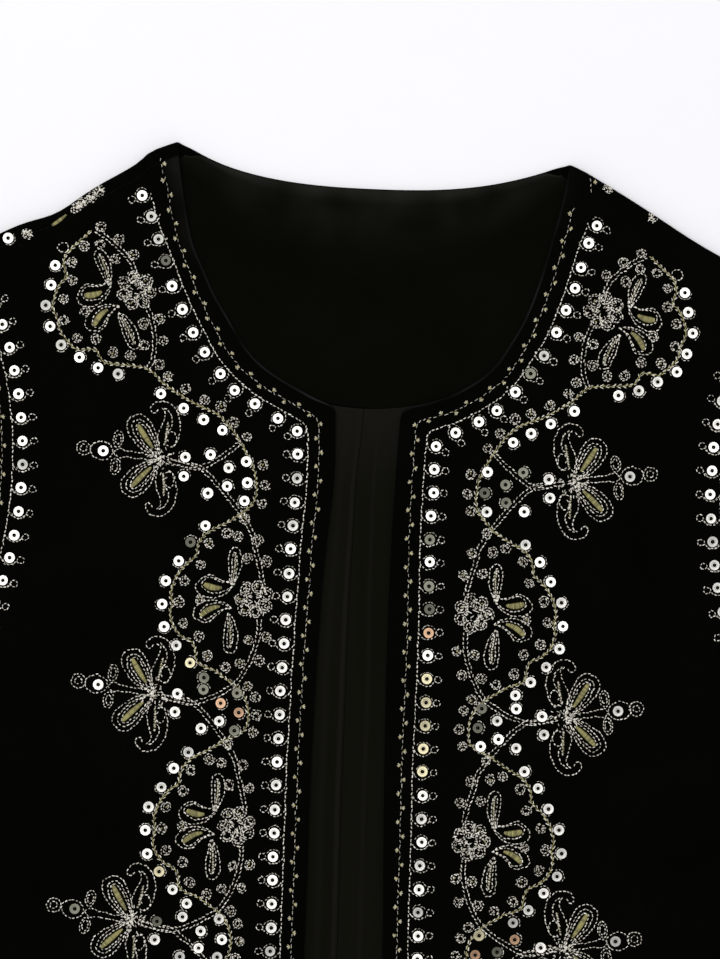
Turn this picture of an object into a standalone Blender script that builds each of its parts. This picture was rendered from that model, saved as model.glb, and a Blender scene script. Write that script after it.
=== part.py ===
"""An embroidered velvet vest, sleeveless, collarless and open down the front, laid flat on its back.

X runs to the right, Y from the hem to the neck and Z up. The back lies underneath, flat on z = 0, and
wraps round the sides and over the shoulders to the seams. The lining and the neck facing lie on its
inside, and the two fronts lie on top. Every panel is half of the vest from its centre to its side: a
patch between four edge curves, given a wall, with soft folds along the side and the shoulder.
"""

import math

import bmesh
import bpy
from mathutils import Vector

# The cut, in metres: Y is measured down from the neck end of the shoulder
LENGTH = 0.510
NECK_HALF = 0.0885
FRONT_NECK_DEPTH = 0.114
BACK_NECK_DEPTH = 0.0175
BACK_NECK_POWER = 2.6
SHOULDER_TIP = (0.195, -0.058)
UNDERARM = (0.232, -0.262)
SIDE_MIDDLE = (0.2365, -0.390)
HEM_HALF = 0.238
HEM_RISE = 0.004
FRONT_CORNER_ROUND = 0.005
CORNER_LEAD = 0.003

# Walls and how they lie on each other
BACK_WALL = 0.0015
LINING_WALL = 0.0010
FRONT_WALL = 0.0018
SEAM = 0.0003
FOLD_RADIUS = 0.003
LINING_TOP = BACK_WALL + SEAM + LINING_WALL
SETTLE = 2 * FOLD_RADIUS - (LINING_TOP + SEAM + FRONT_WALL)
SETTLE_WIDTH = 0.045

# The neck lies a little to the left of the body: the shift fades out down to this level
NECK_SWAY = -0.0037
SWAY_END = -0.200

# The facing and the lining stop short of the folds and of the free edges
FACING_HALF = 0.096
FACING_DEPTH = 0.1145
FACING_END = 0.0035
SHIELD_END = math.radians(86)
NECK_INSET = 0.0006
FOLD_INSET = 0.0050
ARMHOLE_INSET = 0.0040
HEM_INSET = 0.0080

# Shares of a panel's height at which its long edges turn
SIDE_SHARE = 0.50
FRONT_EDGE_SHARE = 0.69
FRONT_CORNER_SHARE = 0.71
BACK_CENTRE_SHARE = 0.80
LINING_CENTRE_SHARE = 0.70
CURL_FADE = 0.12

# Steps of the meshes
COLUMNS = 14
FOLD_COLUMNS = 4
ROWS = 28
FRONT_FOLD_ROWS = 5
BACK_FOLD_ROWS = 10
FOLD_LEAD = 0.006
FACING_ROWS = 5

# Rows that lie exactly at an edge's turns: row, share of the height
FRONT_TURNS = ((12, SIDE_SHARE), (17, FRONT_EDGE_SHARE), (19, FRONT_CORNER_SHARE))
BACK_TURNS = ((12, SIDE_SHARE), (20, BACK_CENTRE_SHARE))
LINING_TURNS = ((10, SIDE_SHARE), (13, LINING_CENTRE_SHARE))

# The front edges, from the neck corner to the hem: level, and distance from the centre on each side
FRONT_EDGE = (
    # level, left, right
    (-0.1130, 0.0145, 0.0145),
    (-0.1470, 0.0146, 0.0129),
    (-0.1920, 0.0182, 0.0115),
    (-0.2690, 0.0199, 0.0134),
    (-0.3630, 0.0194, 0.0180),
    (-0.5100, 0.0200, 0.0210),
)

# The armhole between the underarm and the shoulder tip
ARMHOLE = (
    # out from the centre, level
    (0.1985, -0.2370),
    (0.1810, -0.2060),
    (0.1730, -0.1730),
    (0.1710, -0.1400),
    (0.1745, -0.1100),
    (0.1830, -0.0820),
)

# How far each shoulder seam has rolled to the front, along the cloth from the fold's outermost line
SHOULDER_SEAM = {-1: 0.0077, 1: 0.0025}

# Broad waves of the fronts: place of the middle, half sizes, and height
WAVES = (
    # side, out from the centre, level, half width, half length, height
    (-1, 0.125, -0.160, 0.028, 0.080, 0.0009),
    (-1, 0.062, -0.225, 0.026, 0.070, 0.0007),
    (-1, 0.178, -0.300, 0.030, 0.110, 0.0008),
    (-1, 0.095, -0.400, 0.034, 0.090, 0.0009),
    (1, 0.118, -0.130, 0.026, 0.070, 0.0007),
    (1, 0.080, -0.270, 0.030, 0.100, 0.0009),
    (1, 0.170, -0.340, 0.030, 0.120, 0.0008),
    (1, 0.070, -0.430, 0.026, 0.060, 0.0006),
)

VELVET_COLOUR = (0.0022, 0.0021, 0.0018, 1.0)
FACING_COLOUR = (0.0027, 0.0029, 0.0016, 1.0)
LINING_COLOUR = (0.0092, 0.0088, 0.0070, 1.0)


def smooth(share):
    """0 at 0, 1 at 1, level at both ends."""
    share = min(max(share, 0.0), 1.0)
    return share * share * (3 - 2 * share)


def mix(a, b, share):
    return a + (b - a) * share


def spline(points, steps=10):
    """A smooth line through the points, with this many steps between each two."""
    points = [Vector(p) for p in points]
    before = 2 * points[0] - points[1]
    after = 2 * points[-1] - points[-2]
    ends = [before, *points, after]
    line = [points[0]]
    for i in range(len(points) - 1):
        a, b, c, d = ends[i : i + 4]
        for k in range(1, steps + 1):
            t = k / steps
            line.append(
                0.5 * (2 * b + (c - a) * t + (2 * a - 5 * b + 4 * c - d) * t**2 + (3 * b - a - 3 * c + d) * t**3)
            )
    return line


def quarter(half_width, depth, start, end, steps=24):
    """An ellipse's lower quarter: angle 0 is at the centre line below, and 90 degrees is out at the neck."""
    line = []
    for k in range(steps + 1):
        angle = mix(start, end, k / steps)
        line.append(Vector((half_width * math.sin(angle), -depth * math.cos(angle))))
    return line


class Edge:
    """An edge of a panel, made of legs that end at the given shares of it."""

    def __init__(self, *legs):
        self.legs = []
        start = 0.0
        for end, line in legs:
            lengths = [0.0]
            for a, b in zip(line, line[1:]):
                lengths.append(lengths[-1] + (b - a).length)
            self.legs.append((start, end, line, lengths))
            start = end

    def at(self, share):
        for start, end, line, lengths in self.legs:
            if share <= end or end == self.legs[-1][1]:
                break
        wanted = (share - start) / (end - start) * lengths[-1]
        k = 1
        while k < len(line) - 1 and lengths[k] < wanted:
            k += 1
        part = (wanted - lengths[k - 1]) / (lengths[k] - lengths[k - 1])
        return line[k - 1].lerp(line[k], part)


class Panel:
    """Half of the vest from its centre, share 0 across, to its side, share 1, and from the hem up."""

    def __init__(self, inner, outer, hem, top, turns):
        self.inner, self.outer, self.hem, self.top = inner, outer, hem, top
        self.turns = turns
        self.corners = [inner.at(0), outer.at(0), inner.at(1), outer.at(1)]
        along = self.corners[3] - self.corners[2]
        self.up = Vector((-along.y, along.x)).normalized()

    def plan(self, across, height):
        a, b, c, d = self.corners
        sides = self.inner.at(height).lerp(self.outer.at(height), across)
        ends = self.hem.at(across).lerp(self.top.at(across), height)
        return sides + ends - a.lerp(b, across).lerp(c.lerp(d, across), height)

    def level(self, row, low, high):
        """The share of the height at a row: 0 to low, ROWS to high, and the turns between them."""
        knots = [(0, low), *self.turns, (ROWS, high)]
        for (first, start), (last, end) in zip(knots, knots[1:]):
            if row <= last:
                return mix(start, end, (row - first) / (last - first))
        return high

    def width(self, height):
        return (self.outer.at(height) - self.inner.at(height)).length

    def reach(self, across):
        """How fast a point nears the shoulder with its share of the height."""
        step = 0.02
        near = self.plan(across, 1 - step)
        return (self.plan(across, 1) - near).dot(self.up) / step


def hem_at(x):
    return Vector((x, -LENGTH + HEM_RISE * (x / HEM_HALF) ** 2))


def hem_line(start):
    return Edge((1, [hem_at(mix(start, HEM_HALF, k / 12)) for k in range(13)]))


def shoulder_line():
    return Edge((1, [Vector((NECK_HALF, 0)), Vector(SHOULDER_TIP)]))


def outer_edge():
    side = spline([hem_at(HEM_HALF), SIDE_MIDDLE, UNDERARM])
    armhole = spline([UNDERARM, *ARMHOLE, SHOULDER_TIP])
    return Edge((SIDE_SHARE, side), (1, armhole))


def front_edge_line(side):
    """The front edge from the hem up to where its corner begins."""
    column = 1 if side < 0 else 2
    rows = [(row[column], row[0]) for row in reversed(FRONT_EDGE)]
    rows[0] = hem_at(rows[0][0])
    rows[-1] = (rows[-1][0], rows[-1][1] - FRONT_CORNER_ROUND)
    return spline(rows)


def front_corner(start):
    """The rounded corner between the front edge and the neckline."""
    centre = start + Vector((FRONT_CORNER_ROUND, 0))
    turns = (math.radians(180 - 10 * k) for k in range(9))
    return [centre + FRONT_CORNER_ROUND * Vector((math.cos(turn), math.sin(turn))) for turn in turns]


def front_panel(side):
    edge = front_edge_line(side)
    corner = front_corner(edge[-1])
    start = math.asin((corner[-1].x + CORNER_LEAD) / NECK_HALF)
    neck = quarter(NECK_HALF, FRONT_NECK_DEPTH, start, math.pi / 2)
    legs = ((FRONT_EDGE_SHARE, edge), (FRONT_CORNER_SHARE, corner), (1, [corner[-1], *neck]))
    return Panel(Edge(*legs), outer_edge(), hem_line(edge[0].x), shoulder_line(), FRONT_TURNS)


def back_neck(x):
    return -BACK_NECK_DEPTH * (1 - (abs(x) / NECK_HALF) ** BACK_NECK_POWER)


def back_panel():
    centre = [Vector((0, -LENGTH)), Vector((0, back_neck(0)))]
    neck = [Vector((x, back_neck(x))) for x in (NECK_HALF * k / 16 for k in range(17))]
    inner = Edge((BACK_CENTRE_SHARE, centre), (1, neck))
    return Panel(inner, outer_edge(), hem_line(0), shoulder_line(), BACK_TURNS)


def shield(grow):
    """The facing's curved lower edge from the centre line out to the shoulder, grown outward by a gap."""
    half, depth = FACING_HALF + grow, FACING_DEPTH + grow
    return quarter(half, depth, math.asin(SEAM / 2 / half), SHIELD_END)


def lining_panel():
    """The lining meets its other half along the centre, and the facing along its shield shape."""
    top_edge = shield(SEAM)
    inner = Edge((LINING_CENTRE_SHARE, [hem_at(SEAM / 2), top_edge[0]]), (1, top_edge))
    top = Edge((1, [top_edge[-1], Vector(SHOULDER_TIP)]))
    return Panel(inner, outer_edge(), hem_line(SEAM / 2), top, LINING_TURNS)


def sway(level):
    return NECK_SWAY * (1 - smooth(level / SWAY_END))


def laid(point, side, z):
    """The place in the laid vest of a point of the cut."""
    return Vector((side * point.x + sway(point.y), point.y + LENGTH / 2, z))


def curl(height):
    """1 along the folded side, fading out to 0 up the armhole."""
    return 1 - smooth((height - SIDE_SHARE) / CURL_FADE)


def side_fold(column, panel, height, depth):
    """The share across, and how far the side's fold has turned the cloth from level."""
    width = panel.width(height)
    if column <= COLUMNS:
        return column / COLUMNS * (1 - FOLD_RADIUS / width), 0.0
    part = (column - COLUMNS) / FOLD_COLUMNS
    radius = FOLD_RADIUS - depth
    angle = math.pi / 2 * (1 - part)
    if part == 1:
        angle = SEAM / 2 / radius
    turned = curl(height)
    inward = mix(FOLD_RADIUS * (1 - part), FOLD_RADIUS - radius * math.cos(angle), turned)
    return 1 - inward / width, turned * radius * (1 - math.sin(angle))


def shoulder_fold(along, depth):
    """How far inward and how high a point of the shoulder's fold lies; along is 0 at its outermost line."""
    bent = math.pi / 2 * FOLD_RADIUS
    angle = min(max(along, -bent), bent) / FOLD_RADIUS
    radius = FOLD_RADIUS - depth
    inward = FOLD_RADIUS - radius * math.cos(angle) + max(abs(along) - bent, 0)
    return inward, FOLD_RADIUS + radius * math.sin(angle)


def seam_place(side, offset, depth):
    """The shoulder seam's place along the fold, with its edges parallel through the wall."""
    seam = SHOULDER_SEAM[side]
    bent = math.pi / 2 * FOLD_RADIUS
    return seam + offset * (FOLD_RADIUS / (FOLD_RADIUS - depth) if seam < bent else 1)


def waves(side, point):
    lift = 0.0
    for on, out, level, half_width, half_length, height in WAVES:
        if on == side:
            across = (point.x - out) / half_width
            along = (point.y - level) / half_length
            lift += height * math.exp(-(across**2) - along**2)
    return lift


def front_relief(panel, side, across, height, point, inward):
    """The free edges lie down on the lining, and the middle has its waves."""
    width = panel.width(height)
    free = 1 - curl(height)
    near_edge = 1 - smooth(across * width / SETTLE_WIDTH)
    near_armhole = free * (1 - smooth((1 - across) * width / SETTLE_WIDTH))
    near_hem = 1 - smooth((point.y + LENGTH) / SETTLE_WIDTH)
    low = 1 - (1 - near_edge) * (1 - near_armhole) * (1 - near_hem)
    from_side = mix(smooth((1 - across) * width / SETTLE_WIDTH), 1, free)
    from_shoulder = smooth((inward - 0.010) / SETTLE_WIDTH)
    return (waves(side, point) * (1 - low) - SETTLE * low) * from_side * from_shoulder


def front_point(panel, side, column, row, depth):
    """A point of a front, depth below its outer face."""
    begin = max(SHOULDER_SEAM[side], math.pi / 2 * FOLD_RADIUS) + FOLD_LEAD
    part = (row - ROWS) / FRONT_FOLD_ROWS
    along = mix(begin, seam_place(side, SEAM / 2, depth), max(part, 0))
    inward, z = shoulder_fold(along, depth)
    across = 0.5
    for _ in range(3):
        height = panel.level(row, 0, 1 - inward / panel.reach(across))
        across, drop = side_fold(column, panel, height, depth)
    point = panel.plan(across, height)
    from_shoulder = (1 - height) * panel.reach(across)
    return laid(point, side, z - drop + front_relief(panel, side, across, height, point, from_shoulder))


def back_point(panel, front, side, column, row, depth):
    """A point of the back, depth inside its outer face, which is underneath and wraps over the shoulder."""
    begin = -math.pi / 2 * FOLD_RADIUS - FOLD_LEAD
    part = (row - ROWS) / BACK_FOLD_ROWS
    along = mix(begin, seam_place(side, -SEAM / 2, depth), max(part, 0))
    inward, z = shoulder_fold(along, depth)
    carrier = front if along > 0 else panel
    across = 0.5
    for _ in range(3):
        height = carrier.level(row, 0, 1 - inward / carrier.reach(across))
        across, drop = side_fold(column, carrier, height, depth)
    return laid(carrier.plan(across, height), side, z + drop)


def lining_point(panel, side, column, row, depth):
    """A point of the lining, which lies on the back's inside."""
    low = HEM_INSET / LENGTH
    across = column / COLUMNS
    for _ in range(3):
        height = panel.level(row, low, 1 - FOLD_INSET / panel.reach(across))
        inset = mix(ARMHOLE_INSET, FOLD_INSET, curl(height))
        across = column / COLUMNS * (1 - inset / panel.width(height))
    return laid(panel.plan(across, height), side, LINING_TOP - depth)


def facing_point(lining, side, column, row, depth):
    """A point of the facing, between the lining's upper edge and the back neckline."""
    first = LINING_TURNS[-1][0]
    height = lining.level(first + column, 0, 1 - FOLD_INSET / lining.reach(0))
    along = (height - LINING_CENTRE_SHARE) / (1 - LINING_CENTRE_SHARE)
    low = Edge((1, shield(0))).at(along)
    if column == 0:
        low.x = 0
    share = column / (ROWS - first)
    x = (NECK_HALF - FACING_END) * share
    shoulder = FACING_END * smooth((share - 0.9) / 0.1)
    high = Vector((x, back_neck(x) - NECK_INSET - shoulder))
    return laid(low.lerp(high, row / FACING_ROWS), side, LINING_TOP - depth)


def wall(name, halves, columns, rows, place, depth, material, parts):
    """One panel: a grid for each half is put in place, joined at the centre and given its wall inward."""
    mesh = bmesh.new()
    keys = [mesh.verts.layers.int.new(key) for key in ("side", "column", "row")]
    for side in halves:
        made = bmesh.ops.create_grid(mesh, x_segments=columns, y_segments=rows, size=0.5)
        for vert in made["verts"]:
            column = round((vert.co.x + 0.5) * columns)
            row = round((vert.co.y + 0.5) * rows)
            for key, value in zip(keys, (side, column, row)):
                vert[key] = value
            vert.co = place(side, column, row, 0.0)
    if len(halves) > 1:
        bmesh.ops.remove_doubles(mesh, verts=mesh.verts, dist=0.00001)
    made = bmesh.ops.extrude_face_region(mesh, geom=mesh.faces[:], use_keep_orig=True)
    for vert in made["geom"]:
        if isinstance(vert, bmesh.types.BMVert):
            side, column, row = (vert[key] for key in keys)
            vert.co = place(side, column, row, depth)
    bmesh.ops.recalc_face_normals(mesh, faces=mesh.faces)
    data = bpy.data.meshes.new(name)
    mesh.to_mesh(data)
    mesh.free()
    data.materials.append(material)
    data.shade_smooth()
    data.set_sharp_from_angle(angle=math.radians(50))
    obj = bpy.data.objects.new(name, data)
    parts.objects.link(obj)
    return obj


def cloth(name, colour, roughness):
    material = bpy.data.materials.new(name)
    material.use_nodes = True
    shader = material.node_tree.nodes["Principled BSDF"]
    shader.inputs["Base Color"].default_value = colour
    shader.inputs["Roughness"].default_value = roughness
    shader.inputs["Metallic"].default_value = 0.0
    return material


def make_back(parts):
    panel = back_panel()
    fronts = {side: front_panel(side) for side in (-1, 1)}

    def place(side, column, row, depth):
        return back_point(panel, fronts[side], side, column, row, depth)

    columns = COLUMNS + FOLD_COLUMNS
    rows = ROWS + BACK_FOLD_ROWS
    wall("back", (-1, 1), columns, rows, place, BACK_WALL, cloth("back_velvet", VELVET_COLOUR, 0.9), parts)


def make_facing(parts):
    lining = lining_panel()

    def place(side, column, row, depth):
        return facing_point(lining, side, column, row, depth)

    columns = ROWS - LINING_TURNS[-1][0]
    velvet = cloth("facing_velvet", FACING_COLOUR, 0.9)
    wall("back_facing", (-1, 1), columns, FACING_ROWS, place, LINING_WALL, velvet, parts)


def make_lining(name, side, parts):
    panel = lining_panel()

    def place(side, column, row, depth):
        return lining_point(panel, side, column, row, depth)

    satin = cloth(name + "_satin", LINING_COLOUR, 0.45)
    wall(name, (side,), COLUMNS, ROWS, place, LINING_WALL, satin, parts)


def make_front(name, side, parts):
    panel = front_panel(side)

    def place(side, column, row, depth):
        return front_point(panel, side, column, row, depth)

    columns = COLUMNS + FOLD_COLUMNS
    rows = ROWS + FRONT_FOLD_ROWS
    wall(name, (side,), columns, rows, place, FRONT_WALL, cloth(name + "_velvet", VELVET_COLOUR, 0.9), parts)


def main():
    for obj in list(bpy.data.objects):
        bpy.data.objects.remove(obj, do_unlink=True)
    parts = bpy.data.collections.new("embroidered_vest")
    bpy.context.scene.collection.children.link(parts)
    make_back(parts)
    make_facing(parts)
    make_lining("lining_left", -1, parts)
    make_lining("lining_right", 1, parts)
    make_front("front_left", -1, parts)
    make_front("front_right", 1, parts)


main()
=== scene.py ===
# %% [markdown]
# # An embroidered velvet vest, laid flat
# The real vest is sleeveless, collarless and open down the front: two velvet fronts lie on a satin
# lining and a velvet back, and machine embroidery in pale metallic thread, olive silk and round sequins
# runs along every free edge and down both fronts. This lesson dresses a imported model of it. First comes
# that model, which is the frame that every piece has to fit.

# %% Load the frame
import math
from bisect import bisect_left

import bmesh
import bpy
import numpy as np
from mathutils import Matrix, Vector
from mathutils.bvhtree import BVHTree


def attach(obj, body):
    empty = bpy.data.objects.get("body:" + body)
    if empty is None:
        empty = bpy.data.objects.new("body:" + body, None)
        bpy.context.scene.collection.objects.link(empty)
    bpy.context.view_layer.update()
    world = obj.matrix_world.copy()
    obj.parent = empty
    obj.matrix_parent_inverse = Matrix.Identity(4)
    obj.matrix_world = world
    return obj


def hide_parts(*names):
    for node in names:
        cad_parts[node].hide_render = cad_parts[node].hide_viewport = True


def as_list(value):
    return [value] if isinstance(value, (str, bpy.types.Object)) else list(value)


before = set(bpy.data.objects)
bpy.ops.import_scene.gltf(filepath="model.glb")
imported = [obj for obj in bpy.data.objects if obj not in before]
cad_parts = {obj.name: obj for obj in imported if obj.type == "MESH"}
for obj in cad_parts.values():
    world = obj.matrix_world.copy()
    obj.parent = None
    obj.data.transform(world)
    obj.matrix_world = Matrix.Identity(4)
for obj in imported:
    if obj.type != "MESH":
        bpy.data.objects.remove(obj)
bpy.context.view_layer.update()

print("nodes:", sorted(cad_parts))

# %% [markdown]
# The photograph looks straight down on the upper three quarters of the vest, with the picture turned a
# little against the vest's own centre line. A long lens keeps the view nearly free of perspective, so
# the camera hangs well above the cloth and its lens is worked out from the stretch that the picture
# takes in.

# %% The camera
PICTURE_HEIGHT = 0.4316
PICTURE_CENTRE = Vector((-0.0036, 0.1082, 0.0))
PICTURE_TURN = math.radians(2.5)
CAMERA_HEIGHT = 1.5
CLOTH_TOP = 0.006

eye = bpy.data.cameras.new("camera")
eye.lens = eye.sensor_width * (CAMERA_HEIGHT - CLOTH_TOP) / PICTURE_HEIGHT
camera = bpy.data.objects.new("camera", eye)
camera.location = PICTURE_CENTRE + Vector((0, 0, CAMERA_HEIGHT))
camera.rotation_euler = (0, 0, PICTURE_TURN)
bpy.context.scene.collection.objects.link(camera)
bpy.context.scene.camera = camera
print("lens in mm:", round(eye.lens, 1))

# %% [markdown]
# Every panel follows the cut of the solid that it stands for, so the cut's own measures come first. They
# are in metres: distances go out from the centre line, and levels go down from the neck end of the
# shoulder. A smooth line goes through a few points, and an edge is a chain of such lines.

# %% The cut
LENGTH = 0.510
NECK_HALF = 0.0885
BACK_NECK_DEPTH = 0.0155
BACK_NECK_POWER = 2.6
SHOULDER_TIP = (0.195, -0.058)
UNDERARM = (0.232, -0.262)
SIDE_MIDDLE = (0.2365, -0.390)
HEM_HALF = 0.238
HEM_RISE = 0.004
HEM_STEPS = 12
CORNER_TURNS = range(180, 90, -10)
FRONT_CORNER = {
    # level of the corner's top, and how round it is, on the left and on the right
    -1: (-0.1130, 0.0050),
    1: (-0.1125, 0.0075),
}
NECKLINE = {
    # out and level of points of each front's neckline, from the corner up
    -1: (
        (0.0271, -0.1096), (0.0445, -0.1000), (0.0550, -0.0905), (0.0635, -0.0770), (0.0700, -0.0665),
        (0.0755, -0.0545), (0.0803, -0.0440), (0.0838, -0.0290), (0.0864, -0.0150),
    ),
    1: (
        (0.0328, -0.1095), (0.0476, -0.1013), (0.0570, -0.0933), (0.0642, -0.0822), (0.0705, -0.0705),
        (0.0765, -0.0540), (0.0806, -0.0390), (0.0846, -0.0230), (0.0870, -0.0110),
    ),
}
FRONT_EDGE = (
    # level, out on the left, out on the right
    (-0.1470, 0.0146, 0.0129),
    (-0.1920, 0.0182, 0.0115),
    (-0.2690, 0.0199, 0.0127),
    (-0.3630, 0.0194, 0.0158),
    (-0.5100, 0.0200, 0.0200),
)
FRONT_EDGE_TOP = 0.0145
ARMHOLE = (
    # out from the centre, level
    (0.1985, -0.2370),
    (0.1810, -0.2060),
    (0.1730, -0.1730),
    (0.1710, -0.1400),
    (0.1745, -0.1100),
    (0.1830, -0.0820),
)


def smooth(share):
    """0 up to 0, 1 from 1 on, and level at both ends."""
    share = min(max(share, 0.0), 1.0)
    return share * share * (3 - 2 * share)


def mix(a, b, share):
    """The value at a share of the way from a to b."""
    return a + (b - a) * share


def between(table, value):
    """The value that a table's rows, sorted by their first number, give in between, without kinks."""
    for (first, start), (last, end) in zip(table, table[1:]):
        if value <= last:
            return mix(start, end, smooth((value - first) / (last - first)))
    return table[-1][1]


def spline(points, steps=10):
    """A smooth line through the points, with this many steps between each two."""
    points = [Vector(p) for p in points]
    ends = [2 * points[0] - points[1], *points, 2 * points[-1] - points[-2]]
    line = [points[0]]
    for i in range(len(points) - 1):
        a, b, c, d = ends[i : i + 4]
        for k in range(1, steps + 1):
            t = k / steps
            squared, cubed = 2 * a - 5 * b + 4 * c - d, 3 * b - a - 3 * c + d
            line.append(0.5 * (2 * b + (c - a) * t + squared * t**2 + cubed * t**3))
    return line


class Edge:
    """An edge of a panel, made of legs that end at the given shares of it."""

    def __init__(self, *legs):
        self.legs = []
        start = 0.0
        for end, line in legs:
            lengths = [0.0]
            for a, b in zip(line, line[1:]):
                lengths.append(lengths[-1] + (b - a).length)
            self.legs.append((start, end, line, lengths))
            start = end

    def at(self, share):
        """The point at a share of the edge."""
        for start, end, line, lengths in self.legs:
            if share <= end or end == self.legs[-1][1]:
                break
        wanted = (share - start) / (end - start) * lengths[-1]
        k = min(max(bisect_left(lengths, wanted), 1), len(line) - 1)
        part = (wanted - lengths[k - 1]) / (lengths[k] - lengths[k - 1])
        return line[k - 1].lerp(line[k], part)


def hem_at(x):
    """The hem's point at a distance from the centre; it rises a little towards the sides."""
    return Vector((x, -LENGTH + HEM_RISE * (x / HEM_HALF) ** 2))


def hem_line(start):
    return Edge((1, [hem_at(mix(start, HEM_HALF, k / HEM_STEPS)) for k in range(HEM_STEPS + 1)]))


def shoulder_line():
    """The shoulder's line from the neck to its tip."""
    return Edge((1, [Vector((NECK_HALF, 0)), Vector(SHOULDER_TIP)]))


def side_line():
    """The side from the hem to the underarm."""
    return spline([hem_at(HEM_HALF), SIDE_MIDDLE, UNDERARM])


def armhole_line():
    """The armhole from the underarm to the shoulder's tip."""
    return spline([UNDERARM, *ARMHOLE, SHOULDER_TIP])


def front_edge_line(side):
    """The front edge from the hem up to where its corner begins."""
    top, rounding = FRONT_CORNER[side]
    rows = [(row[1 if side < 0 else 2], row[0]) for row in reversed(FRONT_EDGE)]
    return spline([hem_at(rows[0][0]), *rows[1:], (FRONT_EDGE_TOP, top - rounding)])


def front_neckline(side, start):
    """The rounded corner at the front edge's end, and the neckline from it to the shoulder."""
    rounding = FRONT_CORNER[side][1]
    centre = start + Vector((rounding, 0))
    turns = (math.radians(degrees) for degrees in CORNER_TURNS)
    corner = [centre + rounding * Vector((math.cos(turn), math.sin(turn))) for turn in turns]
    return corner, spline([corner[-1], *NECKLINE[side], (NECK_HALF, 0)])


def back_neck(x):
    """The level of the back's neckline at a distance from the centre."""
    return -BACK_NECK_DEPTH * (1 - (abs(x) / NECK_HALF) ** BACK_NECK_POWER)


_, _, _, armhole_lengths = Edge((1, armhole_line())).legs[0]
print("armhole edge in mm:", round(1000 * armhole_lengths[-1]))

# %% [markdown]
# Half a panel is a patch between four edges: its centre, its side, the hem and the shoulder. Blending the
# four edges gives a smooth net of points, which a grid can take on. The rows turn exactly where an edge
# has a corner, such as at the underarm.

# %% Panels
ROWS = 28
COLUMNS = 14
SIDE_SHARE = 0.50
FRONT_EDGE_SHARE = 0.69
FRONT_CORNER_SHARE = 0.71
BACK_CENTRE_SHARE = 0.80
LINING_CENTRE_SHARE = 0.70
FRONT_TURNS = ((12, SIDE_SHARE), (17, FRONT_EDGE_SHARE), (19, FRONT_CORNER_SHARE))
BACK_TURNS = ((12, SIDE_SHARE), (20, BACK_CENTRE_SHARE))
LINING_TURNS = ((10, SIDE_SHARE), (13, LINING_CENTRE_SHARE))
SEAM = 0.0003
CENTRE_SEAM = 0.0001
FACING_HALF = 0.096
FACING_DEPTH = 0.1145
SHIELD_END = math.radians(86)
SHIELD_STEPS = 24
SHIELD_FULLNESS = 0.03
NECK_STEPS = 16
REACH_STEP = 0.02


class Panel:
    """Half of the vest from its centre, share 0 across, to its side, share 1, and from the hem up."""

    def __init__(self, inner, hem, top, turns):
        self.inner, self.hem, self.top, self.turns = inner, hem, top, turns
        self.outer = Edge((SIDE_SHARE, side_line()), (1, armhole_line()))
        self.corners = [inner.at(0), self.outer.at(0), inner.at(1), self.outer.at(1)]
        along = self.corners[3] - self.corners[2]
        self.up = Vector((-along.y, along.x)).normalized()

    def plan(self, across, height):
        """The point of the cut at a share across and a share of the height."""
        a, b, c, d = self.corners
        sides = self.inner.at(height).lerp(self.outer.at(height), across)
        ends = self.hem.at(across).lerp(self.top.at(across), height)
        return sides + ends - a.lerp(b, across).lerp(c.lerp(d, across), height)

    def level(self, row, low, high):
        """The share of the height at a row: 0 to low, ROWS to high, and the turns between them."""
        knots = [(0, low), *self.turns, (ROWS, high)]
        for (first, start), (last, end) in zip(knots, knots[1:]):
            if row <= last:
                return mix(start, end, (row - first) / (last - first))
        return high

    def width(self, height):
        """The distance from the inner edge to the outer one."""
        return (self.outer.at(height) - self.inner.at(height)).length

    def reach(self, across):
        """How fast a point nears the shoulder with its share of the height."""
        return (self.plan(across, 1) - self.plan(across, 1 - REACH_STEP)).dot(self.up) / REACH_STEP


def front_panel(side):
    """A front, whose inner edge is the front edge, its rounded corner and the neckline."""
    edge = front_edge_line(side)
    corner, neck = front_neckline(side, edge[-1])
    inner = Edge((FRONT_EDGE_SHARE, edge), (FRONT_CORNER_SHARE, corner), (1, neck))
    return Panel(inner, hem_line(edge[0].x), shoulder_line(), FRONT_TURNS)


def back_panel():
    """Half the back, from the centre line and the back neckline out."""
    centre = [Vector((0, -LENGTH)), Vector((0, back_neck(0)))]
    neck = [Vector((x, back_neck(x))) for x in (NECK_HALF * k / NECK_STEPS for k in range(NECK_STEPS + 1))]
    return Panel(Edge((BACK_CENTRE_SHARE, centre), (1, neck)), hem_line(0), shoulder_line(), BACK_TURNS)


def shield(grow):
    """The neck facing's curved lower edge from the centre out to the shoulder, grown by a gap."""
    half, depth = FACING_HALF + grow, FACING_DEPTH + grow
    start = math.asin(CENTRE_SEAM / 2 / half)
    line = []
    for k in range(SHIELD_STEPS + 1):
        turn = mix(start, SHIELD_END, k / SHIELD_STEPS)
        fuller = 1 + SHIELD_FULLNESS * math.sin(2 * turn) ** 2
        line.append(fuller * Vector((half * math.sin(turn), -depth * math.cos(turn))))
    return line


def lining_panel():
    """The lining meets its other half along the centre, and the facing along its shield shape."""
    top_edge = shield(SEAM)
    inner = Edge((LINING_CENTRE_SHARE, [hem_at(CENTRE_SEAM / 2), top_edge[0]]), (1, top_edge))
    top = Edge((1, [top_edge[-1], Vector(SHOULDER_TIP)]))
    return Panel(inner, hem_line(CENTRE_SEAM / 2), top, LINING_TURNS)


fronts = {side: front_panel(side) for side in (-1, 1)}
print("front's width at the hem in mm:", round(1000 * fronts[-1].width(0)))

# %% [markdown]
# A vest on a table is not a flat drawing. The neck lies a little to the left of the hem, and the
# shoulders are pulled a few millimetres out of the cut's lines. Moving the finished panels would also
# work, but a warp of the flat cut keeps every seam closed, because both cloths of a seam go through it.
# Each pull is a soft bump with a place, a size and a direction.

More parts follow.
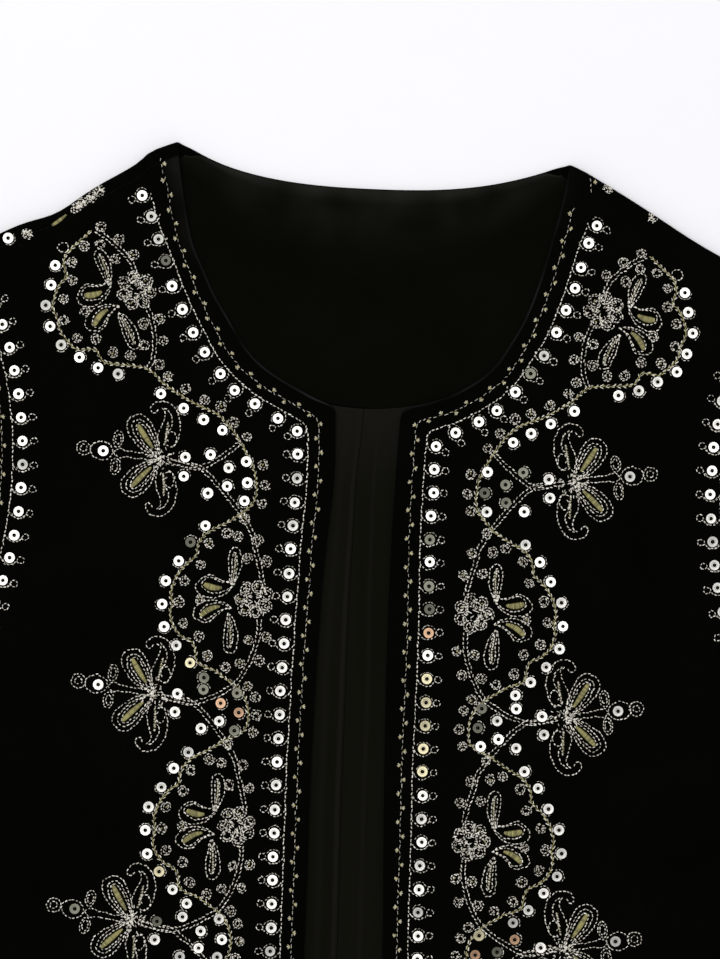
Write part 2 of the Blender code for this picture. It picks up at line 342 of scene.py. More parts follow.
# %% Lay the cut on the table
NECK_SWAY = -0.0037
SWAY_END = -0.200
PULLS = (
    # place in the laid vest, half sizes, and how far the cloth is pulled there
    (-0.0964, 0.2550, 0.0185, 0.0160, 0.0000, 0.0024),
    (-0.1460, 0.2270, 0.0140, 0.0140, 0.0000, -0.0034),
    (-0.1010, 0.2480, 0.0060, 0.0090, -0.0030, 0.0000),
    (0.1460, 0.2220, 0.0440, 0.0150, 0.0000, -0.0018),
    (-0.0920, 0.2550, 0.0040, 0.0040, 0.0000, -0.0007),
    (0.0848, 0.2550, 0.0045, 0.0040, 0.0000, -0.0009),
)


def laid(point, side, z):
    """The place in the laid vest of a point of the cut, for one side, at a height."""
    sway = NECK_SWAY * (1 - smooth(point.y / SWAY_END))
    place = Vector((side * point.x + sway, point.y + LENGTH / 2, z))
    for x, y, half_x, half_y, pull_x, pull_y in PULLS:
        share = math.exp(-(((place.x - x) / half_x) ** 2) - ((place.y - y) / half_y) ** 2)
        place += Vector((pull_x, pull_y, 0)) * share
    return place


print("neck's middle moved to, in mm:", [round(1000 * along, 1) for along in laid(Vector((0, 0)), 1, 0).xy])

# %% [markdown]
# The back's cloth wraps round the sides and over the shoulders to the seams. At a side, front and back
# each take a quarter turn about the same axis, and at a shoulder the back takes both. A point's place on
# a fold comes from an angle, and a point inside the wall has a smaller radius, so the wall stays evenly
# thick round the bend.

# %% Folds at the sides and shoulders
BACK_WALL = 0.0015
LINING_WALL = 0.0010
FRONT_WALL = 0.0018
FOLD_RADIUS = 0.003
LINING_TOP = BACK_WALL + SEAM + LINING_WALL
QUARTER_BEND = math.pi / 2 * FOLD_RADIUS
CURL_FADE = 0.12
FOLD_COLUMNS = 4
SHOULDER_SEAM = {-1: 0.0077, 1: 0.0025}


def curl(height):
    """1 along the folded side, fading out to 0 up the armhole."""
    return 1 - smooth((height - SIDE_SHARE) / CURL_FADE)


def side_fold(column, panel, height, depth):
    """The share across, and how far the side's fold has turned the cloth from level."""
    width = panel.width(height)
    if column <= COLUMNS:
        return column / COLUMNS * (1 - FOLD_RADIUS / width), 0.0
    part = (column - COLUMNS) / FOLD_COLUMNS
    radius = FOLD_RADIUS - depth
    angle = math.pi / 2 * (1 - part)
    if part == 1:
        angle = SEAM / 2 / radius
    turned = curl(height)
    inward = mix(FOLD_RADIUS * (1 - part), FOLD_RADIUS - radius * math.cos(angle), turned)
    return 1 - inward / width, turned * radius * (1 - math.sin(angle))


def shoulder_fold(along, depth):
    """How far inward and how high a point of the shoulder's fold lies, along from its outermost line."""
    angle = min(max(along, -QUARTER_BEND), QUARTER_BEND) / FOLD_RADIUS
    radius = FOLD_RADIUS - depth
    inward = FOLD_RADIUS - radius * math.cos(angle) + max(abs(along) - QUARTER_BEND, 0)
    return inward, FOLD_RADIUS + radius * math.sin(angle)


def seam_place(side, offset, depth):
    """The shoulder seam's place along the fold, with its edges parallel through the wall."""
    seam = SHOULDER_SEAM[side]
    return seam + offset * (FOLD_RADIUS / (FOLD_RADIUS - depth) if seam < QUARTER_BEND else 1)


print("height of the folds in mm:", round(2000 * FOLD_RADIUS, 1))

# %% [markdown]
# The fronts' free edges settle on the lining, and broad waves and a few soft creases run through the
# fronts. A cloth simulation would find its own waves, but these have to lie where the real vest has
# them, so each is a small function of a point's place and can be tuned alone. The creases are placed one
# by one, uneven in length, width and height, as cloth that has been folded away shows them.

# %% Waves and creases
SETTLE = 2 * FOLD_RADIUS - (LINING_TOP + SEAM + FRONT_WALL)
SETTLE_WIDTH = 0.045
SHOULDER_FLAT = 0.010
CREASE_RISE = 2.4
WAVES = (
    # side, out from the centre, level, half width, half length, height
    (-1, 0.125, -0.160, 0.028, 0.080, 0.0009),
    (-1, 0.062, -0.225, 0.026, 0.070, 0.0007),
    (-1, 0.178, -0.300, 0.030, 0.110, 0.0008),
    (-1, 0.095, -0.400, 0.034, 0.090, 0.0009),
    (1, 0.118, -0.130, 0.026, 0.070, 0.0007),
    (1, 0.080, -0.270, 0.030, 0.100, 0.0009),
    (1, 0.170, -0.340, 0.030, 0.120, 0.0008),
    (1, 0.070, -0.430, 0.026, 0.060, 0.0006),
)
CREASES = (
    # side, out and level of the upper end, out and level of the lower end, bow, half width, height
    (-1, 0.146, -0.095, 0.151, -0.262, 0.003, 0.0040, -0.0008),
    (-1, 0.157, -0.120, 0.160, -0.236, -0.002, 0.0050, 0.0007),
    (-1, 0.118, -0.272, 0.128, -0.378, 0.004, 0.0060, -0.0006),
    (-1, 0.196, -0.268, 0.148, -0.300, 0.006, 0.0055, 0.0009),
    (-1, 0.206, -0.310, 0.172, -0.372, -0.004, 0.0065, -0.0007),
    (-1, 0.116, -0.440, 0.142, -0.492, 0.003, 0.0060, 0.0006),
    (1, 0.140, -0.150, 0.148, -0.290, -0.003, 0.0045, -0.0007),
    (1, 0.156, -0.196, 0.122, -0.232, 0.004, 0.0060, 0.0006),
    (1, 0.200, -0.280, 0.158, -0.318, 0.005, 0.0055, 0.0009),
    (1, 0.122, -0.330, 0.130, -0.436, -0.005, 0.0065, -0.0007),
    (1, 0.208, -0.350, 0.176, -0.428, 0.004, 0.0060, 0.0006),
    (1, 0.050, -0.446, 0.120, -0.470, 0.005, 0.0060, -0.0005),
)


def waves(side, point):
    """Broad, low swells."""
    lift = 0.0
    for on, out, level, half_width, half_length, height in WAVES:
        if on == side:
            across = (point.x - out) / half_width
            along = (point.y - level) / half_length
            lift += height * math.exp(-(across**2) - along**2)
    return lift


def creases(side, point):
    """Soft ridges and troughs along bowed lines, which fade out at both ends."""
    lift = 0.0
    for on, out, level, out_end, level_end, bow, half_width, height in CREASES:
        start, run = Vector((out, level)), Vector((out_end - out, level_end - level))
        part = (point - start).dot(run) / run.length_squared
        if on == side and 0 < part < 1:
            away = (point - start).cross(run) / run.length - bow * math.sin(math.pi * part)
            fade = smooth(CREASE_RISE * min(part, 1 - part))
            lift += height * math.exp(-((away / half_width) ** 2)) * fade
    return lift


def front_relief(panel, side, across, height, point, inward):
    """The free edges lie down on the lining, and the middle has its waves and creases."""
    width = panel.width(height)
    free = 1 - curl(height)
    near_edge = 1 - smooth(across * width / SETTLE_WIDTH)
    near_armhole = free * (1 - smooth((1 - across) * width / SETTLE_WIDTH))
    near_hem = 1 - smooth((point.y + LENGTH) / SETTLE_WIDTH)
    low = 1 - (1 - near_edge) * (1 - near_armhole) * (1 - near_hem)
    from_side = mix(smooth((1 - across) * width / SETTLE_WIDTH), 1, free)
    from_shoulder = smooth((inward - SHOULDER_FLAT) / SETTLE_WIDTH)
    lift = waves(side, point) + creases(side, point)
    return (lift * (1 - low) - SETTLE * low) * from_side * from_shoulder


sample = Vector((0.148, -0.180))
lift = waves(-1, sample) + creases(-1, sample)
print("left front's lift at the long crease in mm:", round(1000 * lift, 2))

# %% [markdown]
# With those rules, each kind of panel has one function that says where a grid's column and row go. The
# same function places the outer face and, with a depth, the inner face of the wall. How high a point
# lies and how far its side's fold reaches depend on each other, so both are worked out in a few rounds.

# %% Where each panel's points go
FRONT_FOLD_ROWS = 5
BACK_FOLD_ROWS = 10
FACING_ROWS = 5
FOLD_LEAD = 0.006
NECK_INSET = 0.0006
FOLD_INSET = 0.0050
ARMHOLE_INSET = 0.0040
HEM_INSET = 0.0080
FACING_END = 0.0035
TRIM_START, TRIM_WIDTH = 0.9, 0.1
FITTING_ROUNDS = 3
DRIFT_FADE = 0.06
SEAM_DRIFT = (
    # level, shift of the lining's centre seam
    (-0.510, 0.0000),
    (-0.362, -0.0046),
    (-0.280, -0.0058),
    (-0.200, -0.0062),
    (-0.155, -0.0050),
    (-0.112, -0.0017),
)
LINING_PLEATS = (
    # right of the seam, half width, rise
    (-0.0016, 0.0010, 0.0005),
    (0.0085, 0.0024, 0.0005),
    (-0.0100, 0.0030, 0.0003),
)
back_shape = back_panel()
lining_shape = lining_panel()


def front_point(side, column, row, depth):
    """A point of a front, depth below its outer face."""
    panel = fronts[side]
    begin = max(SHOULDER_SEAM[side], QUARTER_BEND) + FOLD_LEAD
    part = (row - ROWS) / FRONT_FOLD_ROWS
    along = mix(begin, seam_place(side, SEAM / 2, depth), max(part, 0))
    inward, z = shoulder_fold(along, depth)
    across = 0.5
    for _ in range(FITTING_ROUNDS):
        height = panel.level(row, 0, 1 - inward / panel.reach(across))
        across, drop = side_fold(column, panel, height, depth)
    point = panel.plan(across, height)
    from_shoulder = (1 - height) * panel.reach(across)
    return laid(point, side, z - drop + front_relief(panel, side, across, height, point, from_shoulder))


def back_point(side, column, row, depth):
    """A point of the back, depth inside its outer face, which lies underneath."""
    begin = -QUARTER_BEND - FOLD_LEAD
    part = (row - ROWS) / BACK_FOLD_ROWS
    along = mix(begin, seam_place(side, -SEAM / 2, depth), max(part, 0))
    inward, z = shoulder_fold(along, depth)
    carrier = fronts[side] if along > 0 else back_shape
    across = 0.5
    for _ in range(FITTING_ROUNDS):
        height = carrier.level(row, 0, 1 - inward / carrier.reach(across))
        across, drop = side_fold(column, carrier, height, depth)
    return laid(carrier.plan(across, height), side, z + drop)


def lining_point(side, column, row, depth):
    """A point of the lining, with the pressed pleats that show in the gap between the fronts."""
    low = HEM_INSET / LENGTH
    across = column / COLUMNS
    for _ in range(FITTING_ROUNDS):
        height = lining_shape.level(row, low, 1 - FOLD_INSET / lining_shape.reach(across))
        inset = mix(ARMHOLE_INSET, FOLD_INSET, curl(height))
        across = column / COLUMNS * (1 - inset / lining_shape.width(height))
    point = lining_shape.plan(across, height)
    drift = between(SEAM_DRIFT, point.y)
    for x, half_width, rise in LINING_PLEATS:
        depth -= rise * math.exp(-(((side * point.x - x) / half_width) ** 2))
    point.x += side * drift * (1 - smooth(point.x / DRIFT_FADE))
    return laid(point, side, LINING_TOP - depth)


def facing_point(side, column, row, depth):
    """A point of the facing, between the lining's upper edge and the back neckline."""
    first = LINING_TURNS[-1][0]
    height = lining_shape.level(first + column, 0, 1 - FOLD_INSET / lining_shape.reach(0))
    along = (height - LINING_CENTRE_SHARE) / (1 - LINING_CENTRE_SHARE)
    low = Edge((1, shield(0))).at(along)
    if column == 0:
        low.x = 0
    share = column / (ROWS - first)
    x = (NECK_HALF - FACING_END) * share
    shoulder = FACING_END * smooth((share - TRIM_START) / TRIM_WIDTH)
    high = Vector((x, back_neck(x) - NECK_INSET - shoulder))
    return laid(low.lerp(high, row / FACING_ROWS), side, LINING_TOP - depth)


print("facing's lowest point, in mm:", [round(1000 * along, 1) for along in facing_point(1, 0, 0, 0)])

# %% [markdown]
# A wall of cloth starts as a grid for each half. Its points move to their places, the halves are merged
# at the centre, and extruding the whole sheet gives the inner face and the rims. A folded velvet edge is
# round, so the rims along free edges are bevelled. The seams stay sharp, because there two cloths meet.

# %% A wall of cloth
RIM_ANGLE = math.radians(50)
RIM_STEPS = 3
WIDE_ROUND = 0.42
NARROW_ROUND = 0.00026
MERGE_WITHIN = 0.00001


def wall(name, halves, columns, rows, fine, place, depth, last_seam_row=0, closed_column=-1):
    """A panel's closed wall, with each column and row cut into fine steps.

    Its rims are rounded, but not at the top row, nor up the side as far as the last seam row, where they
    meet another cloth's. The side's other rims, and a closed column's, are rounded only a little."""
    mesh = bmesh.new()
    keys = [mesh.verts.layers.int.new(key) for key in ("side", "column", "row")]
    for side in halves:
        made = bmesh.ops.create_grid(mesh, x_segments=columns * fine, y_segments=rows * fine, size=0.5)
        for vert in made["verts"]:
            column = round((vert.co.x + 0.5) * columns * fine)
            row = round((vert.co.y + 0.5) * rows * fine)
            for key, value in zip(keys, (side, column, row)):
                vert[key] = value
            vert.co = place(side, column / fine, row / fine, 0.0)
    if len(halves) > 1:
        bmesh.ops.remove_doubles(mesh, verts=mesh.verts, dist=MERGE_WITHIN)
    made = bmesh.ops.extrude_face_region(mesh, geom=mesh.faces[:], use_keep_orig=True)
    for vert in made["geom"]:
        if isinstance(vert, bmesh.types.BMVert):
            side, column, row = (vert[key] for key in keys)
            vert.co = place(side, column / fine, row / fine, depth)
    bmesh.ops.recalc_face_normals(mesh, faces=mesh.faces)
    _, column, row = keys
    rims = {True: [], False: []}
    for edge in mesh.edges:
        if edge.calc_face_angle(0) > RIM_ANGLE:
            a, b = edge.verts
            at_side = a[column] == b[column] and a[column] in (columns * fine, closed_column * fine)
            at_top = a[row] == b[row] == rows * fine
            in_seam = at_side and a[column] and max(a[row], b[row]) <= last_seam_row * fine
            if not at_top and not in_seam:
                rims[at_side].append(edge)
    for at_side, size in ((False, WIDE_ROUND * depth), (True, NARROW_ROUND)):
        bmesh.ops.bevel(
            mesh, geom=[edge for edge in rims[at_side] if edge.is_valid], offset=size, offset_type="OFFSET",
            affect="EDGES", segments=RIM_STEPS, profile=0.5, material=-1, clamp_overlap=False,
        )
    return finished(name, mesh)


def finished(name, mesh):
    """The bmesh as an object at the origin, shaded smooth but for its sharp edges."""
    data = bpy.data.meshes.new(name)
    mesh.to_mesh(data)
    mesh.free()
    data.shade_smooth()
    data.set_sharp_from_angle(angle=RIM_ANGLE)
    obj = bpy.data.objects.new(name, data)
    bpy.context.scene.collection.objects.link(obj)
    data.calc_loop_triangles()
    print(name, "triangles:", len(data.loop_triangles))
    return obj


# %% [markdown]
# The panels themselves: the back and the neck facing in one piece each, the lining in two halves that
# meet along the centre, and the two fronts. The back has the coarsest grid, since it shows least.

# %% Make the panels
ARMHOLE_SEAM_END = 15
SIDES = {-1: "left", 1: "right"}
back = wall(
    "back_velvet", (-1, 1), COLUMNS + FOLD_COLUMNS, ROWS + BACK_FOLD_ROWS, fine=2, place=back_point,
    depth=BACK_WALL, last_seam_row=ARMHOLE_SEAM_END,
)
facing = wall(
    "neck_facing", (-1, 1), ROWS - LINING_TURNS[-1][0], FACING_ROWS, fine=4, place=facing_point,
    depth=LINING_WALL,
)
linings = {
    side: wall(
        f"lining_satin_{word}", (side,), COLUMNS, ROWS, fine=3, place=lining_point,
        depth=LINING_WALL, closed_column=0,
    )
    for side, word in SIDES.items()
}
front_cloths = {
    side: wall(
        f"front_velvet_{word}", (side,), COLUMNS + FOLD_COLUMNS, ROWS + FRONT_FOLD_ROWS, fine=3,
        place=front_point, depth=FRONT_WALL, last_seam_row=ARMHOLE_SEAM_END,
    )
    for side, word in SIDES.items()
}

# %% [markdown]
# Materials are built from nodes. To keep their arithmetic readable, one small class wraps a node's
# socket, so that a sum or a product of two sockets adds the Math node by itself, and one method adds any
# other node. Colours go through a Mix node, because a Math node would turn them grey.

# %% Node arithmetic
class Wire:
    """A socket of a finish's nodes. Arithmetic on it adds Math nodes."""

    def __init__(self, finish, socket):
        self.finish, self.socket = finish, socket

    def math(self, operation, *values):
        """A Math node on these values."""
        return self.finish.node("ShaderNodeMath", {"operation": operation}, dict(enumerate(values)))

    def size(self):
        """The value without its sign."""
        return self.math("ABSOLUTE", self)

    def __add__(self, other):
        return self.math("ADD", self, other)

    def __sub__(self, other):
        return self.math("SUBTRACT", self, other)

    def __rsub__(self, other):
        return self.math("SUBTRACT", other, self)

    def __mul__(self, other):
        return self.math("MULTIPLY", self, other)

    def __gt__(self, other):
        return self.math("GREATER_THAN", self, other)

    def __lt__(self, other):
        return self.math("LESS_THAN", self, other)

    __radd__ = __add__
    __rmul__ = __mul__


class Finish:
    """A material: its constants sit on the shader's own sockets, and what varies is fed by nodes."""

    def __init__(self, name, constants):
        self.material = bpy.data.materials.new(name)
        self.material.use_nodes = True
        self.tree = self.material.node_tree
        self.shader = self.tree.nodes["Principled BSDF"]
        for socket, value in constants.items():
            self.shader.inputs[socket].default_value = value

    def node(self, kind, settings=None, sockets=None, output=0):
        """A new node: its settings first, then its sockets' values and links."""
        made = self.tree.nodes.new(kind)
        for name, value in (settings or {}).items():
            setattr(made, name, value)
        for name, value in (sockets or {}).items():
            self.feed(made.inputs[name], value)
        return Wire(self, made.outputs[output])

    def feed(self, socket, value):
        """A value or a wire into a socket; the shader's own sockets go by their names."""
        socket = self.shader.inputs[socket] if isinstance(socket, str) else socket
        if isinstance(value, Wire):
            self.tree.links.new(value.socket, socket)
        else:
            socket.default_value = value

    def blend(self, share, first, second):
        """A colour between two colours."""
        sockets = {0: share, 6: first, 7: second}
        return self.node("ShaderNodeMix", {"data_type": "RGBA"}, sockets, output=2)

    def noise(self, where, scale, detail=2.0):
        """Soft noise, the finer the larger its scale."""
        return self.node("ShaderNodeTexNoise", sockets={"Vector": where, "Scale": scale, "Detail": detail})

    def place(self, stretch=(1, 1, 1)):
        """Object coordinates, stretched along the axes."""
        where = self.node("ShaderNodeTexCoord", output="Object")
        return self.node("ShaderNodeMapping", sockets={"Vector": where, "Scale": stretch})

    def attribute(self, key, output="Fac"):
        """A number or a vector that the mesh carries at each of its points."""
        return self.node("ShaderNodeAttribute", {"attribute_name": key}, output=output)

    def ramp(self, value, start, end, low=0.0, high=1.0):
        """A soft step from low to high as the value goes from start to end."""
        sockets = {"Value": value, "From Min": start, "From Max": end, "To Min": low, "To Max": high}
        return self.node("ShaderNodeMapRange", {"interpolation_type": "SMOOTHSTEP"}, sockets)

    def relief(self, height, strength, distance):
        """Small bumps and hollows, which turn the light without moving the mesh."""
        bump = {"Height": height, "Strength": strength, "Distance": distance}
        self.feed("Normal", self.node("ShaderNodeBump", sockets=bump))


# %% [markdown]
# Velvet is a dense pile that swallows light: looked down on, it is nearly black, and it only shows a soft
# sheen where the pile is seen from the side. So the colour is very dark, the mirror-like share is almost
# none, a small constant sheen lights the folds and rims, and fine noise stands for the pile. Broad, faint
# patches are where the pile was brushed another way. Along the neckline and the top of the facing the
# cloth rolls over its edge and catches the light, and that highlight is painted in: there the grid's own
# columns and rows, which every panel carries, mix a paler colour in, in streaks.

# %% Velvet
PILE_SCALE = 1700
BRUSH_SCALE = 22
STREAK_SCALE = 55
STREAK_CONTRAST, STREAK_BASE = 2.8, 0.5
SHEEN_TINT = (0.30, 0.29, 0.32, 1.0)
SHEEN_SPREAD = 0.3
PILE_HEIGHT = 0.0004
NECK_PAINTED_HIGHLIGHT = (
    # painted highlight: strength, more of it on the left, colour, and the grid's rows or columns over which
    # it comes up
    (0.60, 0.12, (0.0135, 0.0130, 0.0148, 1), (("column", 0.10, 0.03), ("row", 53, 57), ("row", 95, 66))),
    (0.42, 0.30, (0.0085, 0.0083, 0.0070, 1), (("column", 3.2, 0.0), ("row", 70, 88))),
)
# painted sheen where the facing rolls over the neck edge: paler up its top rows, palest at the very top
FACING_PAINTED_SHEEN = (
    (0.40, 0.0, (0.0080, 0.0086, 0.0060, 1), (("row", 12, 20),)),
    (0.70, 0.0, (0.0125, 0.0125, 0.0105, 1), (("row", 18.4, 20),)),
)


def velvet(name, deep, brushed, sheen, painted_highlights=()):
    """A velvet between two tones, with streaks of a paler one painted where its rims catch the light."""
    finish = Finish(name, {
        "Specular IOR Level": 0.0, "Sheen Weight": sheen, "Sheen Roughness": SHEEN_SPREAD,
        "Sheen Tint": SHEEN_TINT,
    })
    where = finish.place()
    brush = finish.noise(where, BRUSH_SCALE, 3)
    pile = finish.noise(where, PILE_SCALE)
    shade = finish.blend(brush * 0.5 + pile * 0.5, deep, brushed)
    streaks = finish.noise(where, STREAK_SCALE, 1)
    # painted highlights: each mixes a paler colour in, broken into streaks by noise
    for strength, left_more, colour, ramps in painted_highlights:
        share = strength - left_more * finish.attribute("side")
        for key, start, end in ramps:
            share = share * finish.ramp(finish.attribute(key), start, end)
        shade = finish.blend(share * (STREAK_CONTRAST * streaks - STREAK_BASE), shade, colour)
    finish.feed("Base Color", shade)
    finish.feed("Roughness", 0.82 + 0.12 * brush)
    finish.relief(pile, 0.35, PILE_HEIGHT)
    return finish.material


DEEP, BRUSHED = (0.0005, 0.0005, 0.0002, 1), (0.0020, 0.0020, 0.0013, 1)
FACING_DEEP, FACING_BRUSHED = (0.0009, 0.0011, 0.0005, 1), (0.0034, 0.0037, 0.0021, 1)
VELVET = velvet("black_velvet", DEEP, BRUSHED, 0.12)
FRONT_VELVET = velvet("front_velvet", DEEP, BRUSHED, 0.12, NECK_PAINTED_HIGHLIGHT)
FACING_VELVET = velvet("facing_velvet", FACING_DEEP, FACING_BRUSHED, 0.08, FACING_PAINTED_SHEEN)
print("nodes in the fronts' velvet:", len(FRONT_VELVET.node_tree.nodes))

# %% [markdown]
# The lining is a dark satin whose threads run down the vest. Noise that is squeezed sideways and
# stretched lengthwise gives the soft upright bands of its sheen, and the same noise, finer, is the weave.
# It is paler near the neck, and a highlight is painted along the ridges of the pressed pleats beside its
# centre seam.

# %% Satin
BAND_STRETCH = (70, 4, 1)
WEAVE_STRETCH = (2600, 700, 1)
WEAVE_HEIGHT = 0.0002
SHADE_START, SHADE_END = 0.095, 0.145
SATIN_DARK = (0.0030, 0.0031, 0.0018, 1)
SATIN_LIGHT = (0.0056, 0.0054, 0.0038, 1)
SATIN_UPPER = (0.0074, 0.0070, 0.0054, 1)
PLEAT_HIGHLIGHTS = (
    # painted highlights on the pleats' ridges: columns right of the lining's seam, half width in columns,
    # strength
    (-0.30, 0.34, 0.85),
    (1.75, 0.30, 0.35),
    (-1.70, 0.50, 0.25),
)


def satin(name):
    """A satin with upright bands, painted highlights along its pressed pleats, and a paler top."""
    finish = Finish(name, {"Specular IOR Level": 0.0})
    bands = finish.noise(finish.place(BAND_STRETCH), 1.0)
    weave = finish.noise(finish.place(WEAVE_STRETCH), 1.0)
    height = finish.node("ShaderNodeSeparateXYZ", sockets={0: finish.place()}, output="Y")
    near_neck = finish.ramp(height, SHADE_START, SHADE_END)
    right = finish.attribute("column") * finish.attribute("side")
    shade = finish.blend(bands * 0.9 + weave * 0.1, SATIN_DARK, SATIN_LIGHT)
    # a paler colour painted along each pleat's ridge, as its highlight
    for place, half_width, share in PLEAT_HIGHLIGHTS:
        pressed = finish.ramp((right - place).size(), 0.0, half_width, share, 0.0)
        shade = finish.blend(pressed, shade, SATIN_UPPER)
    finish.feed("Base Color", finish.blend(near_neck * 0.8, shade, SATIN_UPPER))
    finish.feed("Roughness", 0.38 + 0.14 * bands)
    finish.relief(weave, 0.25, WEAVE_HEIGHT)
    return finish.material


SATIN = satin("lining_satin")
print("nodes in the satin:", len(SATIN.node_tree.nodes))

# %% [markdown]
# Each panel gets the finish of its own cloth. The back's velvet is plain, the fronts' has streaks of
# painted highlight near the neckline, and the facing's is paler all over and has a painted sheen at its
# top.

# %% Dress the panels
DRESSED = (
    (back, VELVET), (facing, FACING_VELVET), *((cloth, SATIN) for cloth in linings.values()),
    *((cloth, FRONT_VELVET) for cloth in front_cloths.values()),
)
for cloth, material in DRESSED:
    cloth.data.materials.append(material)
print("panels dressed:", len(DRESSED))

# %% [markdown]
# All the needlework is made of two small shapes, repeated thousands of times. The first is a stitch: a
# short strand that is fat in the middle and dives into the cloth at both ends. It is made once, one unit
# long, as a cone operator's tube with poked ends, and later copied with its own size and place. It has
# few faces, because there are so many of them.

# %% One stitch
STITCH_SIDES = 5
STITCH_BARREL = 0.6
STITCH_POINT = 0.2


def triangles(mesh):
    """The bmesh as arrays of points and of triangles."""
    bmesh.ops.recalc_face_normals(mesh, faces=mesh.faces)
    bmesh.ops.triangulate(mesh, faces=mesh.faces)
    mesh.verts.index_update()
    points = np.array([vert.co for vert in mesh.verts])
    faces = np.array([[vert.index for vert in face.verts] for face in mesh.faces])
    mesh.free()
    return points, faces


def stitch_shape():
    """A strand along X: a short tube whose two ends are poked out to a point."""
    mesh = bmesh.new()
    bmesh.ops.create_cone(
        mesh, cap_ends=True, segments=STITCH_SIDES, radius1=0.5, radius2=0.5, depth=STITCH_BARREL,
    )
    bmesh.ops.recalc_face_normals(mesh, faces=mesh.faces)
    caps = [face for face in mesh.faces if abs(face.normal.z) > 0.9]
    bmesh.ops.poke(mesh, faces=caps, offset=STITCH_POINT)
    points, faces = triangles(mesh)
    return points[:, [2, 0, 1]], faces


STITCH = stitch_shape()
print("stitch:", len(STITCH[1]), "triangles")

# %% [markdown]
# The second is a sequin: a thin disc with a hole, and with a fine crease that was stamped round it.
# Its closed profile is spun once round the axis. It is made with a radius of one unit.

# %% One sequin
SEQUIN_SIDES = 16
SEQUIN_PROFILE = (
    # distance from the centre, height, both for a sequin of radius 1
    (0.38, 0.048),
    (0.52, 0.044),
    (0.59, 0.050),
    (1.00, 0.052),
    (1.00, 0.020),
    (0.38, 0.000),
)


def sequin_shape():
    """The profile, spun round the axis of the hole."""
    mesh = bmesh.new()
    ring = [mesh.verts.new((radius, 0, height)) for radius, height in SEQUIN_PROFILE]
    edges = [mesh.edges.new((a, b)) for a, b in zip(ring, ring[1:] + ring[:1])]
    bmesh.ops.spin(
        mesh, geom=edges + ring, cent=(0, 0, 0), axis=(0, 0, 1), dvec=(0, 0, 0), angle=2 * math.pi,
        steps=SEQUIN_SIDES, use_merge=True, use_duplicate=False,
    )
    return triangles(mesh)


SEQUIN = sequin_shape()
print("sequin:", len(SEQUIN[1]), "triangles")

# %% [markdown]
# A design is drawn flat, in millimetres on the cut, before it is laid on the cloth. The helpers below
# are what one draws with: a smooth line, steps along it, a line beside another, and a shape put in its
# place.

# %% Drawing tools
MM = 0.001
LOOK = 0.4
NEARLY = 0.98


def curve(*points, steps=8):
    """A smooth line through the points, as an array."""
    return np.array([tuple(point) for point in spline(points, steps)])


def walk(path, pitch, skip=(0, 0)):
    """Places at equal steps along a path, and the path's direction at each."""
    legs = np.hypot(*np.diff(path, axis=0).T)
    along = np.concatenate([[0], np.cumsum(legs)])
    start, stop = skip[0], along[-1] - skip[1]
    count = max(round((stop - start) / pitch), 1)
    at = start + (np.arange(count) + 0.5) * (stop - start) / count
    here, ahead, behind = (
        np.stack([np.interp(where, along, path[:, k]) for k in (0, 1)], 1)
        for where in (at, at + LOOK, at - LOOK)
    )
    return here, np.arctan2(*(ahead - behind).T[::-1])


def beside(path, distance):
    """The path moved to its right by a distance, which may vary along it."""
    along = np.gradient(path, axis=0)
    along /= np.hypot(*along.T)[:, None]
    return path + np.stack([along[:, 1], -along[:, 0]], 1) * np.reshape(distance, (-1, 1))


def inside(edge, distance):
    """The line that runs along an edge at this distance to its right, with its corners rounded."""
    moved = beside(edge, distance)
    away = np.sqrt(((moved[:, None] - edge[None]) ** 2).sum(2)).min(1)
    path, _ = walk(moved[away > NEARLY * distance], 1.0)
    for _ in range(round(2 * distance)):
        path[1:-1] = (path[:-2] + 2 * path[1:-1] + path[2:]) / 4
    return path


def put(shape, at, turn=0.0, flip=1):
    """A shape in its own millimetres, flipped, turned and moved."""
    shape = np.asarray(shape, float) * (1, flip)
    cos, sin = math.cos(turn), math.sin(turn)
    return shape @ np.array([[cos, sin], [-sin, cos]]) + at


HARDLY = 1e-9  # a straight line is drawn as one with hardly any bend
BLUNT = 0.78


def bow(length, bend, share):
    """Points at shares of a line that turns through an angle, and the directions across it there."""
    bend += HARDLY
    angle = bend * share
    points = length / bend * np.stack([np.sin(angle), 1 - np.cos(angle)], 1)
    return points, np.stack([-np.sin(angle), np.cos(angle)], 1)


def drop(length, width, bend, tail=0.5, steps=36):
    """A closed petal on a bent axis: blunt at its end, and the thinner at its start the higher tail is."""
    turn = np.linspace(0, 2 * math.pi, steps + 1)
    share = (1 - np.cos(turn)) / 2
    axis, across = bow(length, bend, share)
    swell = np.sign(np.sin(turn)) * np.abs(np.sin(turn)) ** BLUNT * share**tail
    return axis + (width / 2 * swell / swell.max())[:, None] * across


def ring(radius, turn=2 * math.pi, stretch=1.0):
    """An arc about the middle, through this many radians, which may be longer than it is wide."""
    angles = np.linspace(-turn / 2, turn / 2, 24)
    return radius * np.stack([np.cos(angles) * stretch, np.sin(angles)], 1)


print("a ring of 3 mm takes", len(walk(ring(3.0), 1.5)[0]), "stitches")
